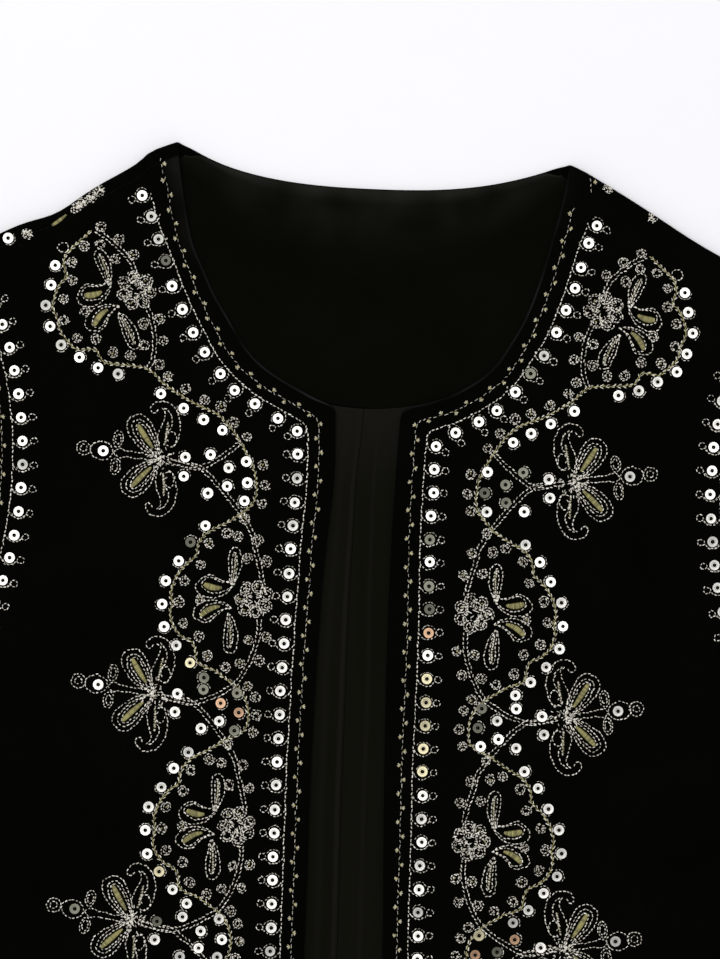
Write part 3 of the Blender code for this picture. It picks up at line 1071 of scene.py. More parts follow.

# %% [markdown]
# Most sequins are white, but about one in seven isn't. The smoky and grey ones are painted reflections:
# sequins tilted so that they mirror something darker than the light above. The pale gold and copper ones
# are partly that painted reflection and partly the sequins' own colour. They turn up where the real vest
# shows them. Random picks would never fall in the same places, so they are listed, and a sequin that is
# set near a listed place takes its tint.

# %% Sequins that aren't white
TONED_NEAR = 4.6
TONED = {
    # out and level of the sequins that aren't white, and their tint
    -1: (
        (99.3, -32.5, 0.80), (95.9, -42.6, 0.74), (145.7, -75.0, 0.80), (138.6, -92.2, 0.80),
        (112.8, -103.7, 0.74), (153.7, -130.2, 0.80), (154.2, -150.9, 0.72), (76.4, -233.1, 0.86),
        (83.9, -330.3, 0.86), (92.5, -52.4, 0.94), (78.3, -177.8, 0.94), (69.9, -238.7, 0.92),
        (70.9, -245.5, 0.91), (55.5, -247.9, 0.92), (57.1, -262.9, 0.88), (124.2, -346.0, 0.92),
        (86.7, -348.9, 0.94), (63.0, -251.0, 0.98), (53.3, -256.0, 0.99), (82.0, -448.0, 0.92),
        (38.0, -420.0, 0.80), (92.4, -408.0, 0.92),
    ),
    1: (
        (78.9, -87.7, 0.80), (60.1, -147.9, 0.88), (61.9, -155.3, 0.90), (119.3, -139.4, 0.74),
        (30.2, -233.8, 0.86), (30.2, -244.5, 0.86), (30.7, -254.5, 0.86), (30.8, -264.9, 0.87),
        (31.3, -276.1, 0.86), (56.9, -352.1, 0.86), (73.4, -96.0, 0.92), (69.0, -141.2, 0.91),
        (52.2, -153.9, 0.94), (29.3, -172.9, 0.93), (30.0, -193.1, 0.93), (30.2, -203.7, 0.94),
        (55.9, -250.7, 0.93), (53.4, -258.1, 0.94), (64.5, -354.9, 0.92), (30.3, -213.6, 0.98),
        (72.3, -348.9, 0.99), (54.8, -359.4, 0.98), (31.5, -440.0, 0.92), (86.0, -440.0, 0.92),
    ),
}
print("sequins with a tone of their own:", {side: len(places) for side, places in TONED.items()})

# %% [markdown]
# `Needlework` collects the stitches and sequins of one front as plain rows of numbers: a small coil, a
# petal and a chain of stitches are all made of the same rows. Each row gets small seeded slips in place,
# direction and length, as a machine on thick pile makes them, and the same seed gives the same slips in
# every run.

# %% Needlework
SEED = 40
PLACE_SLIP, TURN_SLIP = 0.13, 0.18
LENGTH_SLIP, WIDTH_SLIP = (0.75, 1.2), (0.65, 1.3)
SEQUIN_RADIUS = 2.36
SEQUIN_SLIP = 0.15
HOLE_KNOT = (0.32, 0.2)
HOLDING_RING = (3.05, 2.8)
COIL_SLIP = 0.2
COIL_TURNS, COIL_SHRINK, COIL_EASE = 1.95, 0.66, 1.3
CORE_PITCH = 0.58
OUTLINE_STEP = 0.62
THIN_CORE = 1.5
RING_STEPS = {
    # by how many outlines a petal has: how much narrower each is than the first
    0: (),
    2: (0.0, 3.7),
    3: (0.0, 3.7, 6.4),
}


class Needlework:
    """One front's stitches and sequins on the flat cut, as rows: out, level, turn, length, width, tint."""

    def __init__(self, side):
        self.dice = np.random.default_rng(SEED + side)
        self.toned = np.array(TONED[side])
        self.rows = {"gilt": [], "silk": [], "sequin": []}

    def add(self, kind, places, turns, lengths, widths, tints=(0.0, 1.0)):
        """Rows of one kind, with a random tint for each."""
        rows = np.empty((len(places), 6))
        rows[:, :2] = places
        tint = self.dice.uniform(*tints, len(places))
        for column, values in enumerate((turns, lengths, widths, tint), 2):
            rows[:, column] = values
        self.rows[kind].append(rows)

    def stitches(self, path, kind="gilt", pitch=1.9, share=0.8, width=0.44, slant=0.0, tints=(0.1, 1)):
        """A row of stitches along a path, each as long as its share of the pitch."""
        places, turns = walk(path, pitch)
        count = len(places)
        places = places + self.dice.normal(0, PLACE_SLIP, (count, 2))
        turns = turns + slant + self.dice.normal(0, TURN_SLIP, count)
        lengths = pitch * share * self.dice.uniform(*LENGTH_SLIP, count)
        self.add(kind, places, turns, lengths, width * self.dice.uniform(*WIDTH_SLIP, count), tints)

    def scatter(self, at, count, reach, spread, length, width=0.34, tints=(0.0, 0.7)):
        """Short straight stitches that run out from a middle, at random turns."""
        angles = self.dice.uniform(0, 2 * math.pi, count)
        places = at + np.stack([np.cos(angles), np.sin(angles)], 1) * self.dice.uniform(*reach, (count, 1))
        turns = angles + self.dice.normal(0, spread, count)
        self.add("gilt", places, turns, self.dice.uniform(*length, count), width, tints)

    def chain(self, path, gap=0.85):
        """Two rows side by side whose stitches lean together, as the links of a chain stitch."""
        for side in (-1, 1):
            self.stitches(beside(path, side * gap), slant=0.2 * side)

    def sequin(self, place, loop=True):
        """A sequin, the knot in its hole, and part of the ring of thread that holds it."""
        place = np.reshape(place, 2) + self.dice.normal(0, SEQUIN_SLIP, 2)
        near = self.toned[np.hypot(*(self.toned[:, :2] - place).T) < TONED_NEAR]
        tint = near[0, 2] if len(near) else self.dice.uniform(0, 0.6)
        turn = self.dice.uniform(0, 2 * math.pi)
        self.add("sequin", [place], turn, SEQUIN_RADIUS * self.dice.uniform(0.95, 1.02), 0, (tint, tint))
        self.add("silk", [place], turn, *HOLE_KNOT, (0, 0.2))
        if loop:
            self.stitches(put(ring(*HOLDING_RING), place, turn), pitch=1.5, width=0.36, tints=(0, 0.8))

    def rosette(self, at, radius=2.45):
        """A small coil of just under two turns round a knot."""
        share = np.linspace(0, 1, 40)
        angle = self.dice.uniform(0, 2 * math.pi) + share * 2 * math.pi * COIL_TURNS
        reach = radius * self.dice.uniform(0.9, 1.06) * (1 - COIL_SHRINK * share**COIL_EASE)
        slip = self.dice.normal(0, COIL_SLIP, 2)
        path = np.stack([np.cos(angle), np.sin(angle)], 1) * reach[:, None] + at + slip
        tone = self.dice.uniform(0.0, 0.4)
        self.stitches(path, pitch=1.5, width=0.45, tints=(tone, tone + 0.6))
        self.scatter(at, 4, (0.2, radius), 1.2, (0.9, 1.5), tints=(0.0, 0.7))
        if self.dice.random() < 0.4:
            self.add("silk", [at], self.dice.uniform(0, 3), 1.2, 0.6, (0.0, 0.8))

    def petal(self, base, tip, width, bend=0.0, rings=2, core=(0.4, 0.84, 2.6), tail=0.5):
        """Outlines one inside the other round a satin core, whose strands lie across the axis.

        A thin core is only a line of silk with a pale row over it."""
        base, tip = np.array(base, float), np.array(tip, float)
        chord = math.hypot(*(tip - base))
        length = chord * (bend / 2 / math.sin(bend / 2) if bend else 1)
        turn = math.atan2(*(tip - base)[::-1]) - bend / 2
        for inner in RING_STEPS[rings]:
            outline = drop(length - OUTLINE_STEP * inner, width - inner, bend, tail)
            self.stitches(put(outline, base, turn), pitch=1.8)
        start, end, core_width = core
        axis, _ = bow(length, bend, np.linspace(start, end, 12))
        axis = put(axis, base, turn)
        places, turns = walk(axis, CORE_PITCH)
        share = (np.arange(len(places)) + 0.8) / (len(places) + 0.6)
        swell = np.sin(math.pi * share) ** 0.4 * (0.7 + 0.4 * share)
        strand_width, tints = 0.62, (0.0, 0.9)
        if core_width < THIN_CORE:
            places, turns, swell = places[::2], turns[::2], swell[::2]
            self.stitches(axis, pitch=1.2, share=1.0, width=0.62, slant=0.5, tints=(0.0, 0.6))
            strand_width, tints = 0.44, (0.0, 0.45)
        self.add("silk", places, turns + math.pi / 2, core_width * swell + 0.3, strand_width, tints)


sample_work = Needlework(1)
sample_work.rosette((0, 0))
print("stitches in a coil:", len(np.concatenate(sample_work.rows["gilt"])))

# %% [markdown]
# Each motif is one function: first the round flower that sits in every wheel of the vine, with its
# leaves, then the palmette with its curling petals and its beaded stem. Their parts are placed by small
# tables of millimetres from the motif's own centre, with outward to the right.

# %% Motifs
CLUSTER_AT = (-7.8, 2.3)
LEAVES = (
    # base, tip, width, bend, core, thinness of the tail
    ((2.7, 8.0), (2.4, 25.0), 6.0, -0.40, (0.15, 0.86, 1.1), 0.4),
    ((0.6, 11.2), (17.0, 9.2), 10.2, 1.75, (0.42, 0.86, 3.3), 0.9),
    ((1.4, -2.4), (16.4, -8.8), 9.2, -1.45, (0.32, 0.88, 2.9), 0.8),
    ((3.0, -4.4), (1.3, -22.4), 6.4, 0.40, (0.15, 0.86, 1.2), 0.4),
)
CLUSTER_COILS, CLUSTER_RADIUS = 7, 6.1
WHEEL_KNOT = (16.4, 0.4)
PALM_PETALS = (
    # tip, width, bend
    ((13.6, 18.2), 11.0, 0.20),
    ((15.2, -17.0), 11.0, -0.20),
)
SCROLL_OUTER = (
    (-3.4, -5.4), (-5.9, -6.8), (-7.5, -11.2), (-7.7, -16.5), (-6.1, -21.8), (-3.2, -24.9), (0.6, -26.0),
    (4.0, -25.0), (5.9, -22.3), (5.1, -20.3), (3.3, -20.7), (2.4, -22.2),
)
SCROLL_INNER = (
    (1.3, -6.0), (2.0, -9.2), (1.5, -12.6), (0.3, -15.6), (-0.8, -19.0), (-0.5, -21.6), (1.2, -22.9),
)
SCROLL_RING = ((-1.4, -9.8), (-2.6, -12.6), (-4.0, -15.2), (-3.8, -18.8), (-2.4, -21.4), (0.0, -23.0))
SCROLL_CURL = (
    (-2.0, -6.4), (-4.2, -5.4), (-6.0, -7.0), (-6.3, -10.0), (-4.9, -12.4), (-2.8, -12.0), (-2.0, -9.6),
    (-3.2, -8.0),
)
SCROLL_VEIN = (-2.2, -17.6)
STEM_TURN = math.radians(3.5)
STEM_UPPER = ((3.0, 1.2), (10.0, 1.2), (16.0, 1.4), (19.6, 2.0), (22.4, 0.0))
STEM_LOOP = (20.7, 6.2)
STEM_SEQUIN, STEM_EYE, STEM_END = 26.8, 27.7, 36.2
PALM_SEQUINS = ((-10.6, 1.4), (-10.5, -6.8))


def wheel_flower(work, at, turn):
    """Seven small coils round a dark eye, bound by short stitches, and four leaves beside them."""
    middle = put([CLUSTER_AT], at, turn)[0]
    for k in range(CLUSTER_COILS):
        work.rosette(put([(CLUSTER_RADIUS, 0)], middle, turn + 2 * math.pi * k / CLUSTER_COILS)[0], 3.2)
    work.scatter(middle, 42, (1.4, 7.8), 0.9, (1.4, 2.4), width=0.38, tints=(0.2, 1.0))
    work.scatter(middle, 10, (2.0, 3.4), 1.0, (1.2, 1.8), width=0.36, tints=(0.0, 0.6))
    for base, tip, width, bend, core, tail in LEAVES:
        base, tip = put((base, tip), at, turn)
        work.petal(base, tip, width, bend, core=core, tail=tail)
    work.rosette(put([WHEEL_KNOT], at, turn)[0], 2.3)


def palmette(work, at, turn, reach):
    """A fan of four petals, and a stem with two loops, a sequin in an eye and a ring at its end."""
    for tip, width, bend in PALM_PETALS:
        work.petal(at, put([tip], at, turn)[0], width, bend, rings=3, core=(0.26, 0.82, 2.7))
    for flip in (1, -1):
        for points in (SCROLL_OUTER, SCROLL_INNER, SCROLL_RING, SCROLL_CURL):
            work.stitches(put(curve(*points), at, turn, flip), pitch=1.8)
        vein = put([SCROLL_VEIN], at, turn, flip)[0]
        work.petal(at, vein, 0.8, 0.2 * flip, rings=0, core=(0.35, 0.95, 1.4))
    work.scatter(at, 58, (0.8, 7.0), 0.6, (1.0, 2.0), width=0.38, tints=(0.0, 0.9))
    for place in put(PALM_SEQUINS, at, turn):
        work.sequin(place)
    turn += STEM_TURN
    for flip in (1, -1):
        work.stitches(put(curve(*STEM_UPPER) * (reach, 1), at, turn, flip), pitch=1.7, width=0.4)
        loop = put([(STEM_LOOP[0] * reach, STEM_LOOP[1])], at, turn, flip)[0]
        for radius in (3.7, 2.2):
            work.stitches(put(ring(radius, stretch=0.58), loop, turn), pitch=1.5, width=0.42)
    sequin, eye, end = (put([(out * reach, 0)], at, turn)[0] for out in (STEM_SEQUIN, STEM_EYE, STEM_END))
    work.stitches(put(ring(4.1, stretch=1.24), eye, turn), pitch=1.7, width=0.42)
    work.sequin(sequin, loop=False)
    for radius in (3.2, 1.5):
        work.stitches(ring(radius) + end, pitch=1.5, width=0.42)


sample_work = Needlework(1)
wheel_flower(sample_work, (0, 0), 0)
palmette(sample_work, (0, 0), 0, 1)
print("stitches in a flower and a palmette:", len(np.concatenate(sample_work.rows["gilt"])))

# %% [markdown]
# The edging follows every free edge, as parallel lines: a fine running stitch with little three-pronged
# knots on both sides, a bright row of stitches, and then a sequin about every ten and a half millimetres.
# A thread leaves the bright row, cups the sequin and ends in a small loop beyond it.

# %% Edging
KNOT_PITCH = 6.4
KNOT_SPREAD = np.array([-0.9, 0.0, 0.9])
KNOT_ASIDE = 0.8
PRONG_OUT = 0.6
CUP_RING = (3.1, 2.4)
CUP = (
    (-4.3, -0.4), (-3.2, -1.9), (-1.4, -3.1), (0.9, -3.1), (2.7, -2.1), (3.5, -0.9), (4.7, -1.5),
    (6.1, -1.1), (6.5, 0.1), (5.8, 1.2), (4.5, 1.2), (3.6, 0.3), (3.5, -0.8),
)


def knot(work, at, turn):
    """Three short pale prongs that spread away from the line, over a stitch of silk."""
    prongs = turn + KNOT_SPREAD + work.dice.normal(0, 0.15, 3)
    places = at + PRONG_OUT * np.stack([np.cos(prongs), np.sin(prongs)], 1)
    work.add("gilt", places, prongs, work.dice.uniform(1.2, 1.7, 3), 0.58, (0.0, 0.45))
    work.add("silk", [at, places[1]], turn + 1.2, 1.5, 0.72, (0.5, 1.0))


def edging(work, running, row, sequins, flip=1):
    """A running line between knots, a bright row, and the sequins that its thread cups."""
    work.stitches(running, pitch=2.5, share=0.76, width=0.25, tints=(0, 0.6))
    for k, (place, turn) in enumerate(zip(*walk(running, KNOT_PITCH))):
        away = turn - math.pi / 2 if k % 2 else turn + math.pi / 2
        knot(work, place + KNOT_ASIDE * np.array([math.cos(away), math.sin(away)]), away)
    work.stitches(row, pitch=1.9, share=0.82, width=0.45, tints=(0.3, 1))
    for place, turn in sequins:
        work.sequin(place, loop=False)
        work.stitches(put(curve(*CUP), place, turn - math.pi / 2, flip), pitch=1.6, width=0.4)
        work.stitches(put(ring(*CUP_RING), place, turn), pitch=1.6, width=0.3, tints=(0, 0.5))


sample_work = Needlework(1)
knot(sample_work, np.zeros(2), 0.0)
print("a knot's prongs, in mm:", np.concatenate(sample_work.rows["gilt"])[:, 3].round(1))

# %% [markdown]
# Lines at fixed distances from the edge would look too perfect. The real needlework drifts a millimetre
# or two in and out, and some lines stop short of the shoulder, so small tables say by how much at which
# level. The sequins along the front edge keep an even pitch, and those round the neck are listed.

# %% Along the edges
RUNNING_IN = 6.5
ROW_IN = 11.5
SEQUIN_IN = 16.0
SEQUIN_PITCH = 10.7
HEM_POINTS = 60
DRAWN_IN = {
    # level, and how far the needlework lies out of its usual distance from the edge, in metres
    -1: (
        (-0.510, -0.0005), (-0.200, -0.0005), (-0.165, 0.0002), (-0.140, 0.0008), (-0.118, 0.0012),
        (-0.085, 0.0015), (-0.065, 0.0003), (-0.045, -0.0008), (-0.030, 0.0),
    ),
    1: (
        (-0.510, 0.0), (-0.362, 0.0), (-0.290, 0.0012), (-0.220, 0.0026), (-0.150, 0.0012),
        (-0.118, 0.0010), (-0.085, 0.0004), (-0.070, -0.0009), (-0.035, -0.0011), (0.0, -0.0008),
    ),
}
VEER = {
    # level, and how much farther out the bright row lies
    -1: ((-0.045, 0.0), (-0.025, 0.0025)),
    1: ((-0.085, 0.0), (-0.070, 0.0015), (-0.035, 0.0017), (-0.025, 0.0030)),
}
BARE = {
    # how much of the running line and of the bright row the shoulder's end lacks
    -1: (5.0, 21.0),
    1: (18.0, 26.0),
}
NECK_SEQUINS = {
    # out and level, from the front's rounded corner up to the shoulder
    -1: (
        (40.4, -121.0), (50.9, -114.8), (60.0, -109.0), (66.6, -102.0), (73.7, -92.9), (79.3, -84.0),
        (84.4, -73.8), (88.8, -63.5), (92.3, -52.5), (95.8, -42.7), (99.3, -32.5), (103.6, -23.4),
    ),
    1: (
        (39.8, -124.1), (50.3, -118.8), (57.9, -113.2), (66.5, -104.4), (73.2, -96.0), (78.9, -87.5),
        (84.6, -77.1), (88.8, -66.8), (92.3, -56.6), (94.8, -47.4), (97.9, -35.8), (101.3, -27.3),
    ),
}
EDGE_SEQUINS = {
    # level of the uppermost sequin beside the front edge, and their pitch
    -1: (-126.2, 10.66),
    1: (-130.3, 10.50),
}
HEM_SKIP, ARMHOLE_SKIP = (9, 30), (20, 9)  # what stays bare before and after the sequins


def evenly(points):
    """A line of the cut in metres as closely spaced millimetres."""
    return walk(np.array([tuple(point) for point in points]) / MM, 1.0)[0]


def shortened(path, start, end):
    """A path without its first and last millimetres."""
    return walk(path, 1.0, (start, end))[0]


def front_edging(work, side):
    """The edging of a front's free edge, from the side along the hem and the front up to the shoulder."""
    edge = front_edge_line(side)
    corner, neck = front_neckline(side, edge[-1])
    hem = evenly(hem_at(mix(HEM_HALF, edge[0].x, k / HEM_POINTS)) for k in range(HEM_POINTS))
    whole = (*edge, *corner[1:], *neck[1:])
    drawn = [point + Vector((between(DRAWN_IN[side], point.y), 0)) for point in whole]
    veered = [point + Vector((between(VEER[side], point.y), 0)) for point in drawn]
    running, row = (np.concatenate([hem, evenly(line)]) for line in (drawn, veered))
    bare_running, bare_row = BARE[side]
    beside_edge = inside(evenly(drawn[: len(edge)]), SEQUIN_IN)
    first, pitch = EDGE_SEQUINS[side]
    levels = np.arange(first, -LENGTH / MM + SEQUIN_IN, -pitch)[::-1]
    up = np.stack([np.interp(levels, beside_edge[:, 1], beside_edge[:, 0]), levels], 1)
    marks = np.concatenate([up, NECK_SEQUINS[side]])
    turns = np.arctan2(*np.gradient(marks, axis=0).T[::-1])
    edging(
        work, shortened(inside(running, RUNNING_IN), 0, bare_running),
        shortened(inside(row, ROW_IN), HEM_SKIP[0], bare_row),
        [*zip(*walk(inside(hem, SEQUIN_IN), SEQUIN_PITCH, HEM_SKIP)), *zip(marks, turns)],
    )


def armhole_edging(work):
    """The edging of the armhole, whose lines and thread turn the other way."""
    armhole = evenly(reversed(armhole_line()))
    row = shortened(inside(armhole, ROW_IN), *ARMHOLE_SKIP)
    sequins = zip(*walk(inside(armhole, SEQUIN_IN), SEQUIN_PITCH, ARMHOLE_SKIP))
    edging(work, inside(armhole, RUNNING_IN), row, sequins, flip=-1)


sample_work = Needlework(1)
armhole_edging(sample_work)
print("sequins beside an armhole:", len(np.concatenate(sample_work.rows["sequin"])))

# %% [markdown]
# One long vine swings down each front: out round a flower in a wheel, in beside a palmette, and so on
# to the hem. It is olive silk with a pale thread that crosses over it. The first wheel, below the
# shoulder, is turned and smaller, so it has points of its own. The rest repeat, so one list of points is
# moved from wheel to wheel.

# %% The vine
FLOWERS = ((57.0, -205.0), (60.4, -307.1), (61.4, -410.0))
FIRST_FLOWER = ((111.9, -71.1), math.radians(-21))
RIGHT_OFFSET = (0.8, -2.2)
VINE_START = (
    (125.6, -39.4), (128.4, -42.2), (134.3, -48.0), (137.1, -51.6), (138.0, -56.5), (136.5, -61.2),
    (138.9, -64.1), (141.2, -68.3), (142.5, -75.0), (140.4, -80.6), (139.3, -85.4), (136.5, -89.4),
    (130.9, -94.0), (123.3, -93.7), (119.1, -99.0), (109.0, -100.0), (99.3, -101.3), (91.0, -108.2),
    (79.2, -115.3), (66.6, -121.0), (58.0, -131.0), (51.3, -143.2), (49.5, -151.6), (50.6, -159.0),
)
VINE_REPEAT = (
    # out and level from a wheel's middle, from its top down past the next palmette
    (-1.0, 40.5), (2.9, 37.8), (6.8, 35.4), (12.7, 32.2), (16.3, 28.8), (18.2, 24.7), (18.6, 20.7),
    (22.1, 17.6), (25.7, 13.4), (27.8, 9.4), (29.3, 3.8), (28.6, -1.1), (29.3, -5.6), (27.6, -11.5),
    (23.7, -15.8), (19.1, -18.1), (17.3, -21.5), (16.6, -26.4), (13.2, -28.8), (8.8, -30.2), (4.0, -33.3),
    (-1.1, -36.6), (-4.9, -40.5), (-7.1, -45.6), (-7.7, -51.0), (-6.3, -57.0),
)
VINE_STEP = 0.7
VINE_END = ((-3.0, -61.0), (1.4, -62.4), (3.6, -59.4), (1.6, -57.2))


def vine_route(centres):
    """The whole vine as closely spaced places, past wheels with these centres."""
    points = list(VINE_START)
    for centre in centres:
        points += [tuple(point) for point in np.array(VINE_REPEAT) + centre]
    points += [tuple(point) for point in np.array(VINE_END) + centres[-1]]
    return walk(curve(*points), VINE_STEP)[0]


def vine(work, centres):
    """The silk, and the pale thread's dashes on both sides of it."""
    route = vine_route(centres)
    work.stitches(route, "silk", pitch=1.3, share=1.3, width=0.46, slant=0.3, tints=(0.2, 1.0))
    for side in (-1, 1):
        dashes = beside(route, 0.5 * side)
        work.stitches(dashes, pitch=2.6, share=0.7, width=0.4, slant=0.35 * side, tints=(0, 0.9))


print("vine's length in mm:", round(VINE_STEP * len(vine_route(np.array(FLOWERS)))))

# %% [markdown]
# Sequins follow the vine on its outer side and coils on its inner side, and a plaited arc closes each
# wheel towards the front edge. Again the first wheel has lists of its own, and the others share one.

# %% Round the wheels
START_SEQUINS = (
    (141.9, -56.4), (143.6, -65.4), (145.6, -74.4), (143.2, -84.0), (138.6, -92.0), (130.0, -97.3),
    (121.8, -101.6), (112.7, -104.0), (93.2, -112.3), (82.8, -118.1), (73.7, -122.7), (65.5, -127.3),
    (54.4, -140.8), (53.3, -150.4), (54.5, -158.8),
)
START_ROSETTES = (
    (122.0, -38.2), (121.9, -46.0), (129.3, -47.4), (113.9, -43.6), (114.8, -52.3), (106.9, -50.4),
    (134.1, -54.4), (134.1, -63.0), (138.1, -71.4), (137.4, -80.8), (131.4, -88.8), (122.4, -88.6),
    (115.4, -95.0), (107.0, -95.4), (101.2, -91.0), (101.0, -81.0), (94.2, -78.6), (92.8, -88.5),
    (94.0, -99.4), (90.2, -104.2), (82.3, -109.4), (73.4, -114.0), (66.0, -116.6), (60.0, -123.5),
    (54.2, -130.5), (46.8, -142.0), (45.4, -151.4), (47.0, -159.3),
)
WHEEL_SEQUINS = (
    (14.7, 34.5), (21.1, 26.9), (26.4, 18.1), (31.7, 9.0), (32.9, -1.5), (31.5, -11.9), (25.9, -19.9),
    (19.4, -27.7), (12.8, -33.8), (-2.2, -40.2), (-3.6, -49.0), (-1.8, -57.2),
)
WHEEL_ROSETTES = (
    (-2.6, 38.7), (5.2, 31.7), (13.2, 26.4), (16.9, 17.1), (23.8, 9.3), (25.6, -0.5), (23.2, -10.1),
    (15.6, -15.3), (11.9, -24.3), (4.0, -28.9), (-0.3, 30.0), (-9.4, 29.3), (-4.2, 20.5), (-13.0, 19.5),
    (-6.6, -16.2), (-14.4, -14.9), (-3.0, -26.6), (-12.0, -25.5), (-6.9, -36.8), (-10.4, -41.6),
    (-11.8, -49.9), (-10.2, -57.6),
)
ARC_START = (
    ((124.3, -39.6), (119.4, -42.5), (114.4, -46.5), (109.5, -51.1), (106.4, -56.2), (105.4, -60.4)),
    ((101.4, -70.6), (98.8, -76.6), (97.0, -83.2), (96.5, -89.7), (97.1, -96.6), (99.3, -101.3)),
)
WHEEL_ARCS = (
    ((-1.0, 40.5), (-3.4, 36.6), (-6.2, 31.6), (-7.6, 25.8), (-9.2, 20.0), (-10.9, 13.5), (-11.5, 9.8)),
    ((-10.7, -6.3), (-10.8, -11.6), (-9.8, -18.3), (-7.6, -25.4), (-4.2, -32.1), (-1.1, -36.6)),
)
START_RING = (138.4, -48.0)
FLOWER_TURN = 0.03


def round_the_wheels(work, flowers):
    """Flowers, arcs, sequins and coils, from the shoulder down."""
    wheel_flower(work, *FIRST_FLOWER)
    for arc in ARC_START:
        work.chain(curve(*arc))
    for flower in flowers:
        wheel_flower(work, flower, work.dice.normal(0, FLOWER_TURN))
        for arc in WHEEL_ARCS:
            work.chain(curve(*arc) + flower)
        for place in np.array(WHEEL_SEQUINS) + flower:
            work.sequin(place)
        for place in np.array(WHEEL_ROSETTES) + flower:
            work.rosette(place)
    for place in START_SEQUINS:
        work.sequin(place)
    for place in START_ROSETTES:
        work.rosette(place)
    work.stitches(ring(2.5) + START_RING, pitch=1.7, width=0.42)


print("sequins round a wheel:", len(WHEEL_SEQUINS), "and coils:", len(WHEEL_ROSETTES))

# %% [markdown]
# A palmette fills each bend of the vine. Its stem splits in two on its way in, to the places where the
# wheels' arcs cross the vine, and four sequins lie in the pocket of the fork.

# %% Palmettes in the bends
PALMETTES = {
    # out, level, turn, reach of the stem
    -1: (
        (92.6, -141.4, 2.0, 0.97),
        (92.1, -247.2, 3.9, 0.95),
        (96.8, -349.8, 5.5, 1.01),
        (97.6, -452.6, 4.0, 0.98),
    ),
    1: (
        (92.8, -143.6, 4.3, 0.97),
        (93.4, -249.8, 6.1, 0.89),
        (97.4, -353.6, 6.5, 0.88),
        (98.2, -455.0, 5.0, 0.95),
    ),
}
FORK_STEM = ((-3.4, -0.6), (-10.9, -2.4), (-17.6, -3.2))
POCKET_SEQUINS = ((-22.2, 3.0), (-30.4, -2.8), (-29.8, -10.8), (-21.6, -14.6))
FORK_TOP = (56.0, -131.8)
FORK_SAG = 1.2


def fork(work, palm, ends):
    """The palmette's stem splits in two, to where the wheels' arcs cross the vine."""
    stem = np.array(FORK_STEM) + palm
    for end, rise in zip(ends, (1.0, -1.0)):
        end = np.array(end)
        middle = (stem[-1] + end) / 2 + (0.0, -FORK_SAG * rise)
        work.chain(curve(*stem, middle, end))


def palmettes(work, side, flowers):
    """The four palmettes of a front, each tied to the wheels above and below it."""
    tops = [FORK_TOP, *(flower + WHEEL_ARCS[1][-1] for flower in flowers)]
    bottoms = [*(flower + WHEEL_ARCS[0][0] for flower in flowers), flowers[-1] + VINE_REPEAT[-1]]
    for (out, level, turn, reach), top, bottom in zip(PALMETTES[side], tops, bottoms):
        palm = np.array((out, level))
        palmette(work, palm, math.radians(turn), reach)
        fork(work, palm, (top, bottom))
        for place in np.array(POCKET_SEQUINS) + palm:
            work.sequin(place)


print("palmettes on each front:", [len(places) for places in PALMETTES.values()])

# %% [markdown]
# Near the shoulder's fold the two fronts differ: a few coils come over it on both, on one side with a
# leaf and a sequin, and on the other with some loose dashes. Then one function sews a whole front, in an
# order that the seeded slips depend on.

# %% Each front
SHOULDER_LEAF = ((137.4, -30.6), (143.6, -36.2))
SHOULDER_TUFTS = {
    # out and level of small coils near the shoulder's fold
    -1: ((133.2, -27.9), (130.0, -26.0), (126.3, -24.0), (122.6, -21.6), (154.6, -42.1)),
    1: ((106.0, -10.4), (126.6, -22.4)),
}
SHOULDER_SEQUIN = (163.2, -45.0)
LOOSE_DASHES = ((97.9, -6.4), (98.1, -10.0), (98.2, -13.4))
LOOSE_KNOT = (99.6, -8.4)
TUFT_RADIUS = 2.5


def over_the_shoulder(work, side):
    """The coils that come over the shoulder's fold, and what goes with them on each side."""
    for place in SHOULDER_TUFTS[side]:
        work.rosette(place, TUFT_RADIUS)
        work.scatter(np.array(place), 12, (0.3, 2.2), 0.6, (1.2, 2.2), tints=(0.5, 1.0))
    if side < 0:
        work.petal(*SHOULDER_LEAF, 1.6, rings=0, core=(0.0, 1.0, 1.7))
        work.sequin(SHOULDER_SEQUIN)
    else:
        work.stitches(curve(*LOOSE_DASHES), pitch=2.3, width=0.3)
        knot(work, np.array(LOOSE_KNOT), 0.0)


def front_work(side):
    """All the needlework of one front."""
    work = Needlework(side)
    flowers = np.array(FLOWERS) + np.array(RIGHT_OFFSET) * (side > 0)
    front_edging(work, side)
    armhole_edging(work)
    vine(work, flowers)
    round_the_wheels(work, flowers)
    palmettes(work, side, flowers)
    over_the_shoulder(work, side)
    return work


works = {side: front_work(side) for side in (-1, 1)}
for side, work in works.items():
    print("side", side, {kind: sum(map(len, rows)) for kind, rows in work.rows.items()})

# %% [markdown]
# To lay the drawing on the cloth, a ray falls on the velvet at each stitch's place. Where it lands gives
# the height, and the slope there turns the stitch, so the needlework follows every wave and fold. The
# copies of one kind are then joined into one mesh. Thousands of linked objects would also do, but they
# are slow to handle, so arrays place all the copies at once. Each copy's tint and its own coordinates
# are kept as attributes, which the finish reads.

# %% Lay the needlework
ABOVE = 0.05
LOWEST = 0.0034
STEEPEST = 0.2
SEQUIN_TILT = 0.045
STITCH_FLATNESS = 0.8
LIFTS = {"gilt": 0.00012, "silk": 0.00012, "sequin": 0.00030}


def surface(*cloths):
    """The cloths' meshes as one tree that a ray can search quickly."""
    mesh = bmesh.new()
    for cloth in cloths:
        mesh.from_mesh(cloth.data)
    tree = BVHTree.FromBMesh(mesh)
    mesh.free()
    return tree


